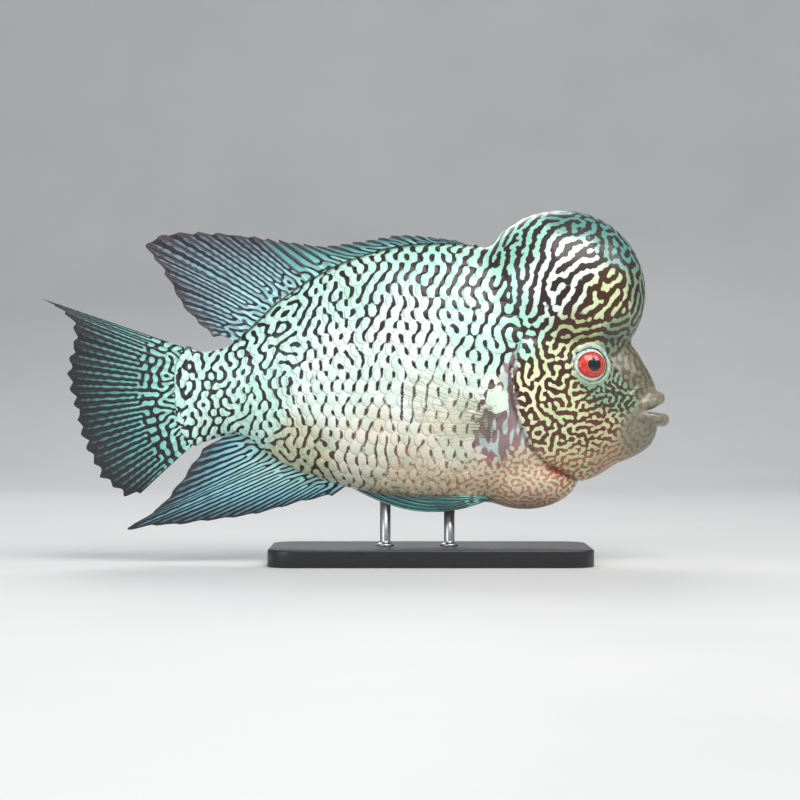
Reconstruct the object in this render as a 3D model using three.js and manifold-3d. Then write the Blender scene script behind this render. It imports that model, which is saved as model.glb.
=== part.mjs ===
// A flowerhorn cichlid as a still, life-size museum model, on a plain display stand.
// Millimetres, +Z up, the snout towards +X. The origin is the centre of the stand's underside.
// The fish swims level with its fins open, as an adult male 29 cm long over the tail does.
// Its flesh is one lofted body with a hump and a breast bulge, parted by thin curved cuts into
// torso, tail stem, head, hump, lower jaw and gill covers. Each fin is a thin sheet that is
// rooted in the body, and its rays are ridges raised in both faces of the sheet.

import * as THREE from "three";
import { mergeVertices } from "three/addons/utils/BufferGeometryUtils.js";
import Module from "manifold-3d";

const wasm = await Module();
wasm.setup();

// Driving dimensions

const GAP = 0.3; // between pieces that touch

// One row a station: distance along the fish, height of the back, height of the belly,
// half the width, and the height at which the body is widest.
const BODY_STATIONS = [
  [-119.5, 93.0, 65.0, 1.5, 79],
  [-116.5, 98.5, 58.5, 2.4, 79],
  [-113.0, 100.6, 55.6, 3.4, 79],
  [-104.6, 99.5, 57.0, 5.8, 79],
  [-91.5, 103.2, 60.0, 8.8, 80],
  [-82.5, 111.0, 57.6, 10.8, 82],
  [-72.2, 121.0, 49.4, 13.2, 84],
  [-56.3, 132.3, 41.8, 17.0, 87],
  [-39.0, 141.0, 36.4, 20.4, 88],
  [-22.5, 146.3, 31.0, 23.2, 88],
  [-5.0, 149.1, 27.4, 25.2, 87],
  [12.0, 149.3, 26.8, 26.3, 86],
  [28.0, 147.3, 28.7, 26.6, 84],
  [42.0, 141.5, 32.0, 26.2, 83],
  [61.0, 130.0, 36.8, 24.8, 82],
  [75.0, 119.0, 40.0, 21.6, 81],
  [87.0, 108.5, 46.2, 17.2, 79],
  [95.2, 101.4, 49.6, 13.9, 76],
  [100.8, 92.6, 53.0, 11.4, 74],
  [104.5, 86.0, 56.6, 9.2, 72],
  [107.0, 81.0, 61.5, 6.8, 71.5],
];
const BACK_TAPER = 0.16; // how much narrower than an oval the body is towards the back
const RING_POINTS = 26;
const LONGEST_STEP = 10; // stations further apart than this get a ring between them

const HUMP = { x: 62.4, z: 126.6, radius: 38.9, halfWidth: 27.5, bulge: 0.05 };
const HUMP_BULGE_AIM = new THREE.Vector2(-0.8, 0.6); // the hump leans back over the nape
const BREAST = { x: 44.6, z: 41.3, length: 25.3, height: 16.4, halfWidth: 17 };
const FIN_PAD = { x: 30, y: 24.2, z: 73, length: 6.2, height: 10.5, halfWidth: 4.2 };

const EYE = { x: 73.9, z: 92.5, radius: 8.4, depth: 5.8, stand: 2.9, yaw: 20, pitch: 6 };
const EYE_RIM = { radius: 8.9, thickness: 0.9 };
const NOSTRIL = { x: 85.4, z: 89.1, radius: 0.9, depth: 2, rim: 1.4, rimThickness: 0.45 };

const LIP = { centreX: 94.7, halfWidth: 11.6, sweep: 98, cornerRadius: 1.7, frontRadius: 3.0 };
const UPPER_LIP = { reach: 12.2, cornerZ: 72.9, frontZ: 77.2 };
const LOWER_LIP = { reach: 14.3, cornerZ: 69.6, frontZ: 67.1 };
const LIP_STEPS = 14;
const LIP_SIDES = 8;
const MOUTH = { x: 104.5, z: 72, length: 5.5, height: 2.3, halfWidth: 7.4 };

const COVER_STAND = 0.7; // the gill cover's rise above the flank
const COVER_THICKNESS = 2.6;

const MEMBRANE_HALF = [0.34, 0.26]; // half the fin membrane's thickness, at its root and margin
const RAY_SHARE = 0.24; // half a ray's width, as a share of the step from ray to ray

const BASE = { length: 150, width: 72, thickness: 8, corner: 12, bevel: 1 };
const ROD = { radius: 2.5, sides: 20, front: 9, rear: -21, bury: 6 };

// Cuts, as curves in the fish's side view. Each runs past the flesh at both ends.

const GILL_CUT = [
  [22.0, 158.0],
  [26.9, 147.6],
  [32.8, 138.4],
  [38.9, 123.3],
  [43.1, 109.3],
  [40.3, 97.6],
  [37.1, 87.7],
  [38.5, 76.4],
  [41.7, 64.7],
  [46.9, 54.4],
  [54.4, 47.4],
  [61.9, 43.1],
  [68.9, 39.2],
  [80.0, 33.5],
];
const BROW_CUT = [
  [30.0, 112.0],
  [42.0, 108.8],
  [50.0, 104.8],
  [62.0, 103.5],
  [75.0, 104.6],
  [86.0, 104.2],
  [95.2, 101.8],
  [106.0, 99.0],
];
const JAW_CUT = [
  [93.3, 71.3],
  [91.6, 60.0],
  [87.7, 47.4],
  [83.5, 36.0],
];
const STEM_CUT_X = -92.9;
const COVER_FRONT = [
  [45.5, 105.5],
  [53.5, 99.0],
  [56.0, 88.0],
  [56.5, 75.0],
  [59.5, 61.0],
  [66.0, 45.5],
];
const COVER_REAR = [
  [43.6, 103.0],
  [40.8, 97.4],
  [37.6, 87.7],
  [39.0, 76.5],
  [42.2, 65.0],
  [47.3, 54.8],
  [54.7, 47.9],
  [62.0, 43.8],
];
const MOUTH_GAPE = [
  [93.0, 71.5],
  [101.8, 71.6],
  [111.0, 74.6],
  [118.0, 77.0],
  [118.0, 69.0],
  [112.0, 70.1],
  [101.8, 71.1],
  [93.0, 71.1],
];
// Limits of the side view, past the fish on every side
const SIDE = { left: -160, right: 160, low: 20, high: 190, halfDepth: 60 };

// Fins. The root and the margin run from the first ray to the last, and a ray joins the same
// share of both. Half a ray's thickness is given at its root and at its tip.

const inPlane = (points) => points.map(([x, z]) => new THREE.Vector3(x, 0, z));
const inSpace = (points) => points.map(([x, y, z]) => new THREE.Vector3(x, y, z));

const SPINY_DORSAL = {
  root: inPlane([
    [20.6, 148.2],
    [-5.2, 148.4],
    [-22.5, 145.6],
    [-42.7, 138.4],
    [-56.7, 131.0],
  ]),
  margin: inPlane([
    [12.0, 151.2],
    [-11.3, 153.6],
    [-22.5, 152.4],
    [-39.4, 149.6],
    [-50.7, 148.4],
    [-63.3, 150.1],
    [-81.4, 152.4],
  ]),
  rays: 17,
  rows: 2,
  sink: 2.5,
  rayHalf: [0.95, 0.45],
  tip: 1.0,
  bow: () => new THREE.Vector3(0, 0, 0),
};
const SOFT_DORSAL = {
  root: inPlane([
    [-57.6, 130.4],
    [-72.2, 120.2],
    [-82.5, 110.6],
    [-91.0, 102.4],
  ]),
  margin: inPlane([
    [-82.3, 152.7],
    [-98.5, 154.3],
    [-114.9, 154.8],
    [-128.0, 152.4],
    [-133.2, 148.7],
    [-126.6, 140.2],
    [-121.9, 132.7],
    [-117.2, 123.3],
    [-109.7, 114.0],
    [-101.3, 106.0],
  ]),
  rays: 13,
  rows: 4,
  sink: 3,
  rayHalf: [0.75, 0.4],
  tip: 0.8,
  bow: (share) => new THREE.Vector3(0, 1.5 * share, 2 * share),
};
const CAUDAL = {
  root: inPlane([
    [-113.4, 100.4],
    [-117.4, 92.4],
    [-118.4, 84.8],
    [-118.2, 76.9],
    [-116.3, 68.9],
    [-113.4, 61.9],
    [-109.8, 56.6],
  ]),
  margin: inPlane([
    [-181.5, 123.8],
    [-169.8, 116.3],
    [-166.0, 109.3],
    [-168.4, 95.2],
    [-167.0, 77.4],
    [-162.3, 59.1],
    [-153.8, 42.2],
    [-143.0, 32.4],
    [-135.1, 33.3],
  ]),
  rays: 17,
  rows: 4,
  sink: 3,
  rayHalf: [0.9, 0.4],
  tip: 0.8,
  bow: (share) => new THREE.Vector3(0, 2.5 * Math.cos(Math.PI * share), 0),
};
const ANAL = {
  root: inPlane([
    [-37.5, 37.4],
    [-54.4, 42.5],
    [-64.3, 46.0],
    [-74.6, 51.6],
    [-81.1, 58.2],
    [-85.4, 62.0],
  ]),
  margin: inPlane([
    [-44.6, 32.4],
    [-59.1, 29.1],
    [-75.0, 24.9],
    [-85.8, 22.5],
    [-103.2, 20.2],
    [-118.2, 18.3],
    [-131.3, 17.4],
    [-143.0, 15.5],
    [-129.0, 24.4],
    [-118.2, 36.6],
    [-107.4, 51.6],
    [-99.9, 57.7],
    [-94.7, 59.6],
  ]),
  rays: 15,
  rows: 4,
  sink: 3,
  rayHalf: [0.8, 0.4],
  tip: 0.8,
  bow: (share) => new THREE.Vector3(0, -1.5 * share, -1.5 * share * (1 - share)),
};
// The paired fins are drawn for the left side and mirrored for the right
const PECTORAL = {
  root: inSpace([
    [28.5, 27.4, 72.6],
    [28.2, 26.2, 66.0],
    [27.2, 24.0, 59.6],
  ]),
  margin: inSpace([
    [-2.0, 44.0, 89.6],
    [-9.4, 46.5, 85.8],
    [-12.2, 47.0, 79.2],
    [-10.3, 46.0, 71.8],
    [-2.3, 42.0, 63.3],
    [9.7, 34.0, 56.7],
  ]),
  rays: 13,
  rows: 4,
  sink: 3.4,
  rayHalf: [0.65, 0.36],
  tip: 0.5,
  bow: () => new THREE.Vector3(-1, 2.4, 0),
};
const PELVIC = {
  root: inSpace([
    [26.0, 8.4, 29.6],
    [24.0, 9.2, 30.6],
    [22.0, 10.0, 31.8],
  ]),
  margin: inSpace([
    [-35.5, 9.0, 35.2],
    [-24.0, 11.5, 33.4],
    [-12.0, 13.0, 32.0],
    [0.0, 13.6, 31.6],
  ]),
  rays: 6,
  rows: 6,
  sink: 3.5,
  rayHalf: [0.85, 0.4],
  tip: 0.4,
  bow: (share) => new THREE.Vector3(0, -0.4 * (1 - share), -7.6 * (1 - share)),
};

// Small helpers

const flat = (x, z) => new THREE.Vector2(x, z);
const smooth = (points, count) =>
  new THREE.SplineCurve(points.map(([x, z]) => flat(x, z))).getPoints(count);

// A smooth value along x through the rows of a table, with one column read out
function column(rows, which) {
  const slope = rows.map((row, i) => {
    const before = rows[Math.max(0, i - 1)];
    const after = rows[Math.min(rows.length - 1, i + 1)];
    return (after[which] - before[which]) / (after[0] - before[0]);
  });
  return (x) => {
    let i = rows.findIndex((row) => row[0] > x) - 1;
    if (i < 0) i = x < rows[0][0] ? 0 : rows.length - 2;
    const width = rows[i + 1][0] - rows[i][0];
    const t = THREE.MathUtils.clamp((x - rows[i][0]) / width, 0, 1);
    const rise = rows[i + 1][which] - rows[i][which];
    const lean = t * (1 - t) ** 2 * slope[i] - t ** 2 * (1 - t) * slope[i + 1];
    return rows[i][which] + t * t * (3 - 2 * t) * rise + lean * width;
  };
}

// A closed skin over a row of rings that all have the same number of points
function loft(rings) {
  const count = rings[0].length;
  const points = rings.flat();
  const ends = [rings[0], rings[rings.length - 1]].map((ring) =>
    ring.reduce((sum, p) => sum.add(p), new THREE.Vector3()).divideScalar(count),
  );
  const index = [];
  for (let k = 0; k < count; k++) {
    const next = (k + 1) % count;
    for (let r = 0; r < rings.length - 1; r++) {
      const here = r * count;
      const there = here + count;
      index.push(here + k, here + next, there + next);
      index.push(here + k, there + next, there + k);
    }
    const last = (rings.length - 1) * count;
    index.push(next, k, points.length);
    index.push(last + k, last + next, points.length + 1);
  }
  return new THREE.BufferGeometry().setFromPoints([...points, ...ends]).setIndex(index);
}

function solid(geometry) {
  const bare = geometry.clone();
  for (const name of Object.keys(bare.attributes)) {
    if (name !== "position") bare.deleteAttribute(name);
  }
  const merged = mergeVertices(bare, 1e-4);
  const mesh = new wasm.Mesh({
    numProp: 3,
    vertProperties: new Float32Array(merged.attributes.position.array),
    triVerts: new Uint32Array(merged.index.array),
  });
  return new wasm.Manifold(mesh);
}

// The largest closed surface of a solid, which drops loose scraps and sealed hollows
function largest(made) {
  const parts = made.decompose();
  return parts.reduce((best, part) => (part.volume() > best.volume() ? part : best));
}

function geometryOf(made) {
  const mesh = made.getMesh();
  const geometry = new THREE.BufferGeometry();
  geometry.setAttribute("position", new THREE.BufferAttribute(mesh.vertProperties, 3));
  geometry.setIndex(new THREE.BufferAttribute(mesh.triVerts, 1));
  geometry.computeVertexNormals();
  return geometry;
}

// A prism across the fish, over an outline in its side view
function prism(outline, yLow = -SIDE.halfDepth, yHigh = SIDE.halfDepth) {
  const shape = new THREE.Shape(outline);
  const made = new THREE.ExtrudeGeometry(shape, { depth: yHigh - yLow, bevelEnabled: false });
  return solid(made.rotateX(Math.PI / 2).translate(0, yHigh, 0));
}

// A thin upright sheet that follows a curve of the side view, for parting two nodes
function parting(curve) {
  const sides = [[], []];
  curve.forEach((p, i) => {
    const before = curve[Math.max(0, i - 1)];
    const after = curve[Math.min(curve.length - 1, i + 1)];
    const along = after.clone().sub(before).normalize();
    const across = flat(-along.y, along.x).multiplyScalar(GAP / 2);
    sides[0].push(p.clone().add(across));
    sides[1].push(p.clone().sub(across));
  });
  return prism([...sides[0], ...sides[1].reverse()]);
}

// An outline moved outwards by a distance, for the gap round a plate
function grown(outline, distance) {
  return outline.map((p, i) => {
    const before = outline[(i + outline.length - 1) % outline.length];
    const after = outline[(i + 1) % outline.length];
    const along = after.clone().sub(before).normalize();
    const turn = THREE.ShapeUtils.isClockWise(outline) ? 1 : -1;
    return p.clone().add(flat(-along.y, along.x).multiplyScalar(turn * distance));
  });
}

// A ball with its poles to the left and right of the fish
const ball = (columns, rows) => new THREE.SphereGeometry(1, columns, rows).rotateX(Math.PI / 2);

// The flesh, grown by a thickness where a neighbour has to stand clear of it

const backAt = column(BODY_STATIONS, 1);
const bellyAt = column(BODY_STATIONS, 2);
const halfWidthAt = column(BODY_STATIONS, 3);
const widestAt = column(BODY_STATIONS, 4);

function bodyRing(x, grow) {
  const ring = [];
  for (let k = 0; k < RING_POINTS; k++) {
    const turn = (2 * Math.PI * k) / RING_POINTS;
    const rise = Math.sin(turn);
    const end = rise > 0 ? backAt(x) + grow : bellyAt(x) - grow;
    const taper = 1 - BACK_TAPER * Math.max(0, rise) ** 2;
    const y = (halfWidthAt(x) + grow) * Math.cos(turn) * taper;
    const z = widestAt(x) + Math.abs(end - widestAt(x)) * rise;
    ring.push(new THREE.Vector3(x, y, z));
  }
  return ring;
}

function bodyOf(grow) {
  const rings = [];
  BODY_STATIONS.forEach(([x], i) => {
    rings.push(bodyRing(x, grow));
    const next = BODY_STATIONS[i + 1]?.[0] ?? x;
    if (next - x > LONGEST_STEP) rings.push(bodyRing((x + next) / 2, grow));
  });
  rings[0].forEach((p) => (p.x -= grow));
  rings[rings.length - 1].forEach((p) => (p.x += grow));
  return solid(loft(rings));
}

function humpOf(grow) {
  const made = ball(26, 16);
  const at = made.attributes.position;
  for (let i = 0; i < at.count; i++) {
    const [x, y, z] = [at.getX(i), at.getY(i), at.getZ(i)];
    const lean = Math.max(0, x * HUMP_BULGE_AIM.x + z * HUMP_BULGE_AIM.y);
    const radius = HUMP.radius * (1 + HUMP.bulge * lean ** 6) + grow;
    at.setXYZ(i, x * radius, y * (HUMP.halfWidth + grow), z * radius);
  }
  return solid(made.translate(HUMP.x, 0, HUMP.z));
}

function ovalOf(size, side, grow) {
  const made = ball(18, 10);
  made.scale(size.length + grow, size.halfWidth + grow, size.height + grow);
  return solid(made.translate(size.x, side * (size.y ?? 0), size.z));
}

function fleshOf(grow) {
  const body = bodyOf(grow).add(humpOf(grow)).add(ovalOf(BREAST, 0, grow));
  return body.add(ovalOf(FIN_PAD, 1, grow)).add(ovalOf(FIN_PAD, -1, grow));
}

// Half the body's width at a point of the side view, where nothing else covers it
function flankY(x, z) {
  const end = z > widestAt(x) ? backAt(x) : bellyAt(x);
  const rise = (z - widestAt(x)) / Math.abs(end - widestAt(x));
  const taper = 1 - BACK_TAPER * Math.max(0, rise) ** 2;
  return halfWidthAt(x) * Math.sqrt(Math.max(0, 1 - rise * rise)) * taper;
}

// A lip is a tube that runs round the snout from one corner of the mouth to the other
function lipOf(lip) {
  const rings = [];
  for (let i = 0; i <= LIP_STEPS; i++) {
    const turn = THREE.MathUtils.degToRad(LIP.sweep * (1 - (2 * i) / LIP_STEPS));
    const front = Math.max(0, Math.cos(turn));
    const radius = THREE.MathUtils.lerp(LIP.cornerRadius, LIP.frontRadius, front ** 0.7);
    const centre = new THREE.Vector3(
      LIP.centreX + lip.reach * Math.cos(turn),
      LIP.halfWidth * Math.sin(turn),
      THREE.MathUtils.lerp(lip.cornerZ, lip.frontZ, front),
    );
    const outward = new THREE.Vector3(Math.cos(turn), Math.sin(turn), 0);
    const ring = [];
    for (let k = 0; k < LIP_SIDES; k++) {
      const angle = (2 * Math.PI * k) / LIP_SIDES;
      const point = centre.clone().addScaledVector(outward, radius * Math.cos(angle));
      point.z += radius * Math.sin(angle);
      ring.push(point);
    }
    rings.push(ring);
  }
  return solid(loft(rings));
}

// Places a shape that faces outwards along Y on one side of the head
function onHead(made, x, z, stand, side) {
  const place = new THREE.Matrix4().makeRotationZ(THREE.MathUtils.degToRad(-side * EYE.yaw));
  place.multiply(new THREE.Matrix4().makeRotationX(THREE.MathUtils.degToRad(side * EYE.pitch)));
  place.setPosition(x, side * (flankY(x, z) + stand), z);
  return solid(made.applyMatrix4(place));
}

function eyeOf(side, grow) {
  const made = ball(18, 10).scale(EYE.radius + grow, EYE.depth + grow, EYE.radius + grow);
  return onHead(made, EYE.x, EYE.z, EYE.stand - EYE.depth, side);
}

function eyeRimOf(side) {
  const ring = new THREE.TorusGeometry(EYE_RIM.radius, EYE_RIM.thickness, 5, 18);
  return onHead(ring.rotateX(Math.PI / 2), EYE.x, EYE.z, -EYE_RIM.thickness / 2, side);
}

// The cuts, and the halves of the side view to each side of them

const gillCurve = smooth(GILL_CUT, 26);
const browCurve = smooth(BROW_CUT, 12);
const jawCurve = smooth(JAW_CUT, 5);
const [topRight, topLeft] = [flat(SIDE.right, SIDE.high), flat(SIDE.left, SIDE.high)];
const [lowRight, lowLeft] = [flat(SIDE.right, SIDE.low), flat(SIDE.left, SIDE.low)];
const stemTop = flat(STEM_CUT_X, SIDE.high);
const stemLow = flat(STEM_CUT_X, SIDE.low);
const gillEnds = [gillCurve[0], gillCurve[gillCurve.length - 1]];
const browEnd = browCurve[browCurve.length - 1];

const frontRegion = prism([
  ...gillCurve,
  flat(gillEnds[1].x, SIDE.low),
  lowRight,
  topRight,
  flat(gillEnds[0].x, SIDE.high),
]);
const humpRegion = prism([
  ...browCurve,
  flat(SIDE.right, browEnd.y),
  topRight,
  topLeft,
  flat(SIDE.left, browCurve[0].y),
]);
const jawRegion = prism([
  ...jawCurve,
  flat(jawCurve[jawCurve.length - 1].x, SIDE.low),
  lowRight,
  flat(SIDE.right, jawCurve[0].y),
]);
const stemRegion = prism([lowLeft, stemLow, stemTop, topLeft]);

const flesh = fleshOf(0).add(lipOf(UPPER_LIP)).add(lipOf(LOWER_LIP));
const cleared = fleshOf(GAP);
const front = flesh.intersect(frontRegion).subtract(parting(gillCurve));
const rear = flesh.subtract(frontRegion).subtract(parting(gillCurve));

const mouthHollow = ball(14, 8).scale(MOUTH.length, MOUTH.halfWidth, MOUTH.height);
const mouth = solid(mouthHollow.translate(MOUTH.x, 0, MOUTH.z));
const gape = prism(MOUTH_GAPE.map(([x, z]) => flat(x, z))).add(mouth);
const coverOutline = [...smooth(COVER_FRONT, 8), ...smooth(COVER_REAR, 12).reverse()];

function torsoOf() {
  return largest(rear.subtract(stemRegion).subtract(parting([stemLow, stemTop])));
}

function tailStemOf() {
  return largest(rear.intersect(stemRegion).subtract(parting([stemLow, stemTop])));
}

function humpNodeOf() {
  return largest(front.intersect(humpRegion).subtract(parting(browCurve)));
}

function jawOf() {
  const below = front.subtract(humpRegion).intersect(jawRegion);
  return largest(below.subtract(parting(jawCurve)).subtract(gape));
}

// The head, with its eye sockets, nostrils and the beds of the gill covers
function headOf() {
  let made = front.subtract(humpRegion).subtract(parting(browCurve));
  made = made.subtract(jawRegion).subtract(parting(jawCurve)).subtract(gape);
  const bedFloor = bodyOf(COVER_STAND - COVER_THICKNESS - GAP);
  made = made.subtract(prism(grown(coverOutline, GAP)).subtract(bedFloor));
  for (const side of [-1, 1]) {
    const y = side * flankY(NOSTRIL.x, NOSTRIL.z);
    const rim = new THREE.TorusGeometry(NOSTRIL.rim, NOSTRIL.rimThickness, 5, 10);
    const pit = ball(8, 6).scale(NOSTRIL.radius, NOSTRIL.depth, NOSTRIL.radius);
    made = made.add(eyeRimOf(side));
    made = made.add(solid(rim.rotateX(Math.PI / 2).translate(NOSTRIL.x, y, NOSTRIL.z)));
    made = made.subtract(solid(pit.translate(NOSTRIL.x, y, NOSTRIL.z)));
    made = made.subtract(eyeOf(side, GAP));
  }
  return largest(made);
}

function coverOf() {
  const plate = bodyOf(COVER_STAND).subtract(bodyOf(COVER_STAND - COVER_THICKNESS));
  return largest(plate.intersect(prism(coverOutline, 0, SIDE.halfDepth)));
}

// Fins

// The columns of a fin sheet: a crest on each ray, and a flank to each side of it
function columnsOf(rays) {
  const step = 1 / (rays - 1);
  const columns = [];
  for (let ray = 0; ray < rays; ray++) {
    const share = ray * step;
    if (ray > 0) columns.push({ share: share - RAY_SHARE * step, crest: false });
    columns.push({ share, crest: true });
    if (ray < rays - 1) columns.push({ share: share + RAY_SHARE * step, crest: false });
  }
  return columns;
}

// The sheet's face points along its ruling, where its root and its rays span a plane
function faceOf(root, margin, share) {
  const along = margin.getPointAt(share).sub(root.getPointAt(share));
  const across = root.getTangentAt(share).add(margin.getTangentAt(share));
  return across.cross(along).normalize();
}

// Both faces have the same triangles, so that they never cross
function finSheet(fin) {
  const root = new THREE.CatmullRomCurve3(fin.root);
  const margin = new THREE.CatmullRomCurve3(fin.margin);
  const columns = columnsOf(fin.rays);
  const vertices = [];
  for (const { share, crest } of columns) {
    const start = root.getPointAt(share);
    const along = margin.getPointAt(share).sub(start);
    const face = faceOf(root, margin, share);
    const low = -fin.sink / along.length();
    const high = 1 + (crest ? fin.tip / along.length() : 0);
    const [thick, thin] = crest ? fin.rayHalf : MEMBRANE_HALF;
    for (let row = 0; row <= fin.rows; row++) {
      const reach = THREE.MathUtils.lerp(low, high, row / fin.rows);
      const middle = start.clone().addScaledVector(along, reach);
      middle.addScaledVector(fin.bow(share), 4 * reach * Math.max(0, 1 - reach));
      const half = THREE.MathUtils.lerp(thick, thin, Math.max(0, reach));
      vertices.push(middle.clone().addScaledVector(face, half));
      vertices.push(middle.clone().addScaledVector(face, -half));
    }
  }
  const at = (col, row, side) => 2 * (col * (fin.rows + 1) + row) + side;
  const index = [];
  const quad = (a, b, c, d) => index.push(a, b, c, a, c, d);
  const last = columns.length - 1;
  for (let c = 0; c < last; c++) {
    for (let r = 0; r < fin.rows; r++) {
      quad(at(c, r, 0), at(c + 1, r, 0), at(c + 1, r + 1, 0), at(c, r + 1, 0));
      index.push(at(c, r, 1), at(c + 1, r + 1, 1), at(c + 1, r, 1));
      index.push(at(c, r, 1), at(c, r + 1, 1), at(c + 1, r + 1, 1));
    }
    quad(at(c, 0, 1), at(c + 1, 0, 1), at(c + 1, 0, 0), at(c, 0, 0));
    quad(at(c, fin.rows, 0), at(c + 1, fin.rows, 0), at(c + 1, fin.rows, 1), at(c, fin.rows, 1));
  }
  for (let r = 0; r < fin.rows; r++) {
    quad(at(0, r, 0), at(0, r + 1, 0), at(0, r + 1, 1), at(0, r, 1));
    quad(at(last, r, 1), at(last, r + 1, 1), at(last, r + 1, 0), at(last, r, 0));
  }
  return solid(new THREE.BufferGeometry().setFromPoints(vertices).setIndex(index));
}

const finOf = (fin) => largest(finSheet(fin).subtract(cleared));

// The display stand: a flat plate with rounded edges and two short rods up to the belly

function baseOf() {
  const { length, width, thickness, corner, bevel } = BASE;
  const [x, y] = [length / 2 - bevel - corner, width / 2 - bevel - corner];
  const shape = new THREE.Shape();
  shape.absarc(x, y, corner, 0, 0.5 * Math.PI);
  shape.absarc(-x, y, corner, 0.5 * Math.PI, Math.PI);
  shape.absarc(-x, -y, corner, Math.PI, 1.5 * Math.PI);
  shape.absarc(x, -y, corner, 1.5 * Math.PI, 2 * Math.PI);
  return new THREE.ExtrudeGeometry(shape, {
    depth: thickness - 2 * bevel,
    bevelThickness: bevel,
    bevelSize: bevel,
    bevelSegments: 1,
    curveSegments: 5,
  }).translate(0, 0, bevel);
}

function rodOf(x) {
  const foot = BASE.thickness + GAP;
  const height = bellyAt(x) + ROD.bury - foot;
  const rod = new THREE.CylinderGeometry(ROD.radius, ROD.radius, height, ROD.sides);
  rod.rotateX(Math.PI / 2).translate(x, 0, foot + height / 2);
  return largest(solid(rod).subtract(cleared));
}

// The scene graph: one named mesh a node, with its own material

const pattern = new THREE.MeshStandardMaterial({ color: 0xcfe6d2, roughness: 0.35 });
const brownPattern = new THREE.MeshStandardMaterial({ color: 0x8a5a40, roughness: 0.4 });
const paleJaw = new THREE.MeshStandardMaterial({ color: 0xa08f78, roughness: 0.4 });
const blueFin = new THREE.MeshStandardMaterial({ color: 0x4f8f9c, roughness: 0.35 });
const yellowFin = new THREE.MeshStandardMaterial({ color: 0xc8bd7a, roughness: 0.35 });
const redEye = new THREE.MeshStandardMaterial({ color: 0xc02010, roughness: 0.08 });
const blackPlate = new THREE.MeshStandardMaterial({ color: 0x1b1b1d, roughness: 0.3 });
const steel = new THREE.MeshStandardMaterial({ color: 0xb8b8b8, roughness: 0.3, metalness: 1 });

const model = new THREE.Group();

function add(name, geometry, material) {
  const mesh = new THREE.Mesh(geometry, material);
  mesh.name = name;
  model.add(mesh);
}

add("torso", geometryOf(torsoOf()), pattern);
add("tail_stem", geometryOf(tailStemOf()), pattern);
add("nuchal_hump", geometryOf(humpNodeOf()), brownPattern);
add("head", geometryOf(headOf()), brownPattern);
add("lower_jaw", geometryOf(jawOf()), paleJaw);

const paired = [
  ["gill_cover", coverOf(), brownPattern],
  ["eye", eyeOf(1, 0), redEye],
  ["pectoral_fin", finOf(PECTORAL), yellowFin],
  ["pelvic_fin", finOf(PELVIC), blueFin],
];
for (const [name, made, material] of paired) {
  add(`${name}_left`, geometryOf(made), material);
  add(`${name}_right`, geometryOf(made.mirror([0, 1, 0])), material);
}

add("dorsal_fin_spiny", geometryOf(finOf(SPINY_DORSAL)), blueFin);
add("dorsal_fin_soft", geometryOf(finOf(SOFT_DORSAL)), blueFin);
add("caudal_fin", geometryOf(finOf(CAUDAL)), blueFin);
add("anal_fin", geometryOf(finOf(ANAL)), blueFin);

add("stand_base", baseOf(), blackPlate);
add("stand_rod_front", geometryOf(rodOf(ROD.front)), steel);
add("stand_rod_rear", geometryOf(rodOf(ROD.rear)), steel);

export default model;
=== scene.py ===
# %% [markdown]
# # A flowerhorn cichlid, life size, on a display stand
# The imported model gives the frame: the fish's body, fins, eyes and stand, already in place and
# at their real size. This lesson grows the living look around it: one skin over all the flesh,
# scale plates over the trunk, fine fins with their rays, wet eyes, and the maze of markings
# that names this fish. Sizes are worked out in millimetres and become metres in each mesh.

# %% Load the frame
import math

import bpy
import numpy as np
from mathutils import Matrix, Vector


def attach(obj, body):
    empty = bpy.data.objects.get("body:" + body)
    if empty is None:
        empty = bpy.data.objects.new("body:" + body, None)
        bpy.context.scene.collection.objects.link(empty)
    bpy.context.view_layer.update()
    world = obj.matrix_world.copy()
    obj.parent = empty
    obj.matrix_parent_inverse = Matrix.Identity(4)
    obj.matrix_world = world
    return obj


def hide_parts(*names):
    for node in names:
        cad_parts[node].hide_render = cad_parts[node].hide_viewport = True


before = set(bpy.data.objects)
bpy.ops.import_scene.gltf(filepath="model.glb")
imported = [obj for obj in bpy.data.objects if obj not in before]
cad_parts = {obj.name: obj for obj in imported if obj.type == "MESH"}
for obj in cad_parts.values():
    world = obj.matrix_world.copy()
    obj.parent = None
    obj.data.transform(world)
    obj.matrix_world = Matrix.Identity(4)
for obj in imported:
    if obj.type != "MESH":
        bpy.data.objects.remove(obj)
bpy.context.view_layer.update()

MM = 0.001
print("frame nodes:", len(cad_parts))

# %% [markdown]
# ## The camera first
# The photograph looks level and square at the fish's right side, so the camera stands on the
# -Y side and looks along +Y. A long lens from 1.1 m flattens the view as the photograph's does.
# At that distance 800 pixels of the frame span 375 mm of the fish's middle plane.

# %% Camera
CAMERA = {"x": -14.1, "y": -1100.0, "z": 76.4, "lens": 105.5, "sensor": 36.0}

camera_data = bpy.data.cameras.new("camera")
camera_data.lens = CAMERA["lens"]
camera_data.sensor_width = CAMERA["sensor"]
camera = bpy.data.objects.new("camera", camera_data)
camera.location = [CAMERA[axis] * MM for axis in "xyz"]
camera.rotation_euler = (math.pi / 2, 0, 0)
bpy.context.collection.objects.link(camera)
bpy.context.scene.camera = camera
print("camera at", tuple(round(v, 3) for v in camera.location))

# %% [markdown]
# ## The body's law
# On the real fish the trunk is one smooth body, deep and narrow. It could be sculpted by hand,
# but then scales, markings and fins would each have to be fitted to it by eye. Here a few
# stations say how high the back is, how low the belly, how wide the body and where it is
# widest. A smooth curve through each column of the table gives every place between them, so
# that the skin, the scales and the markings all follow one law.

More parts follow.
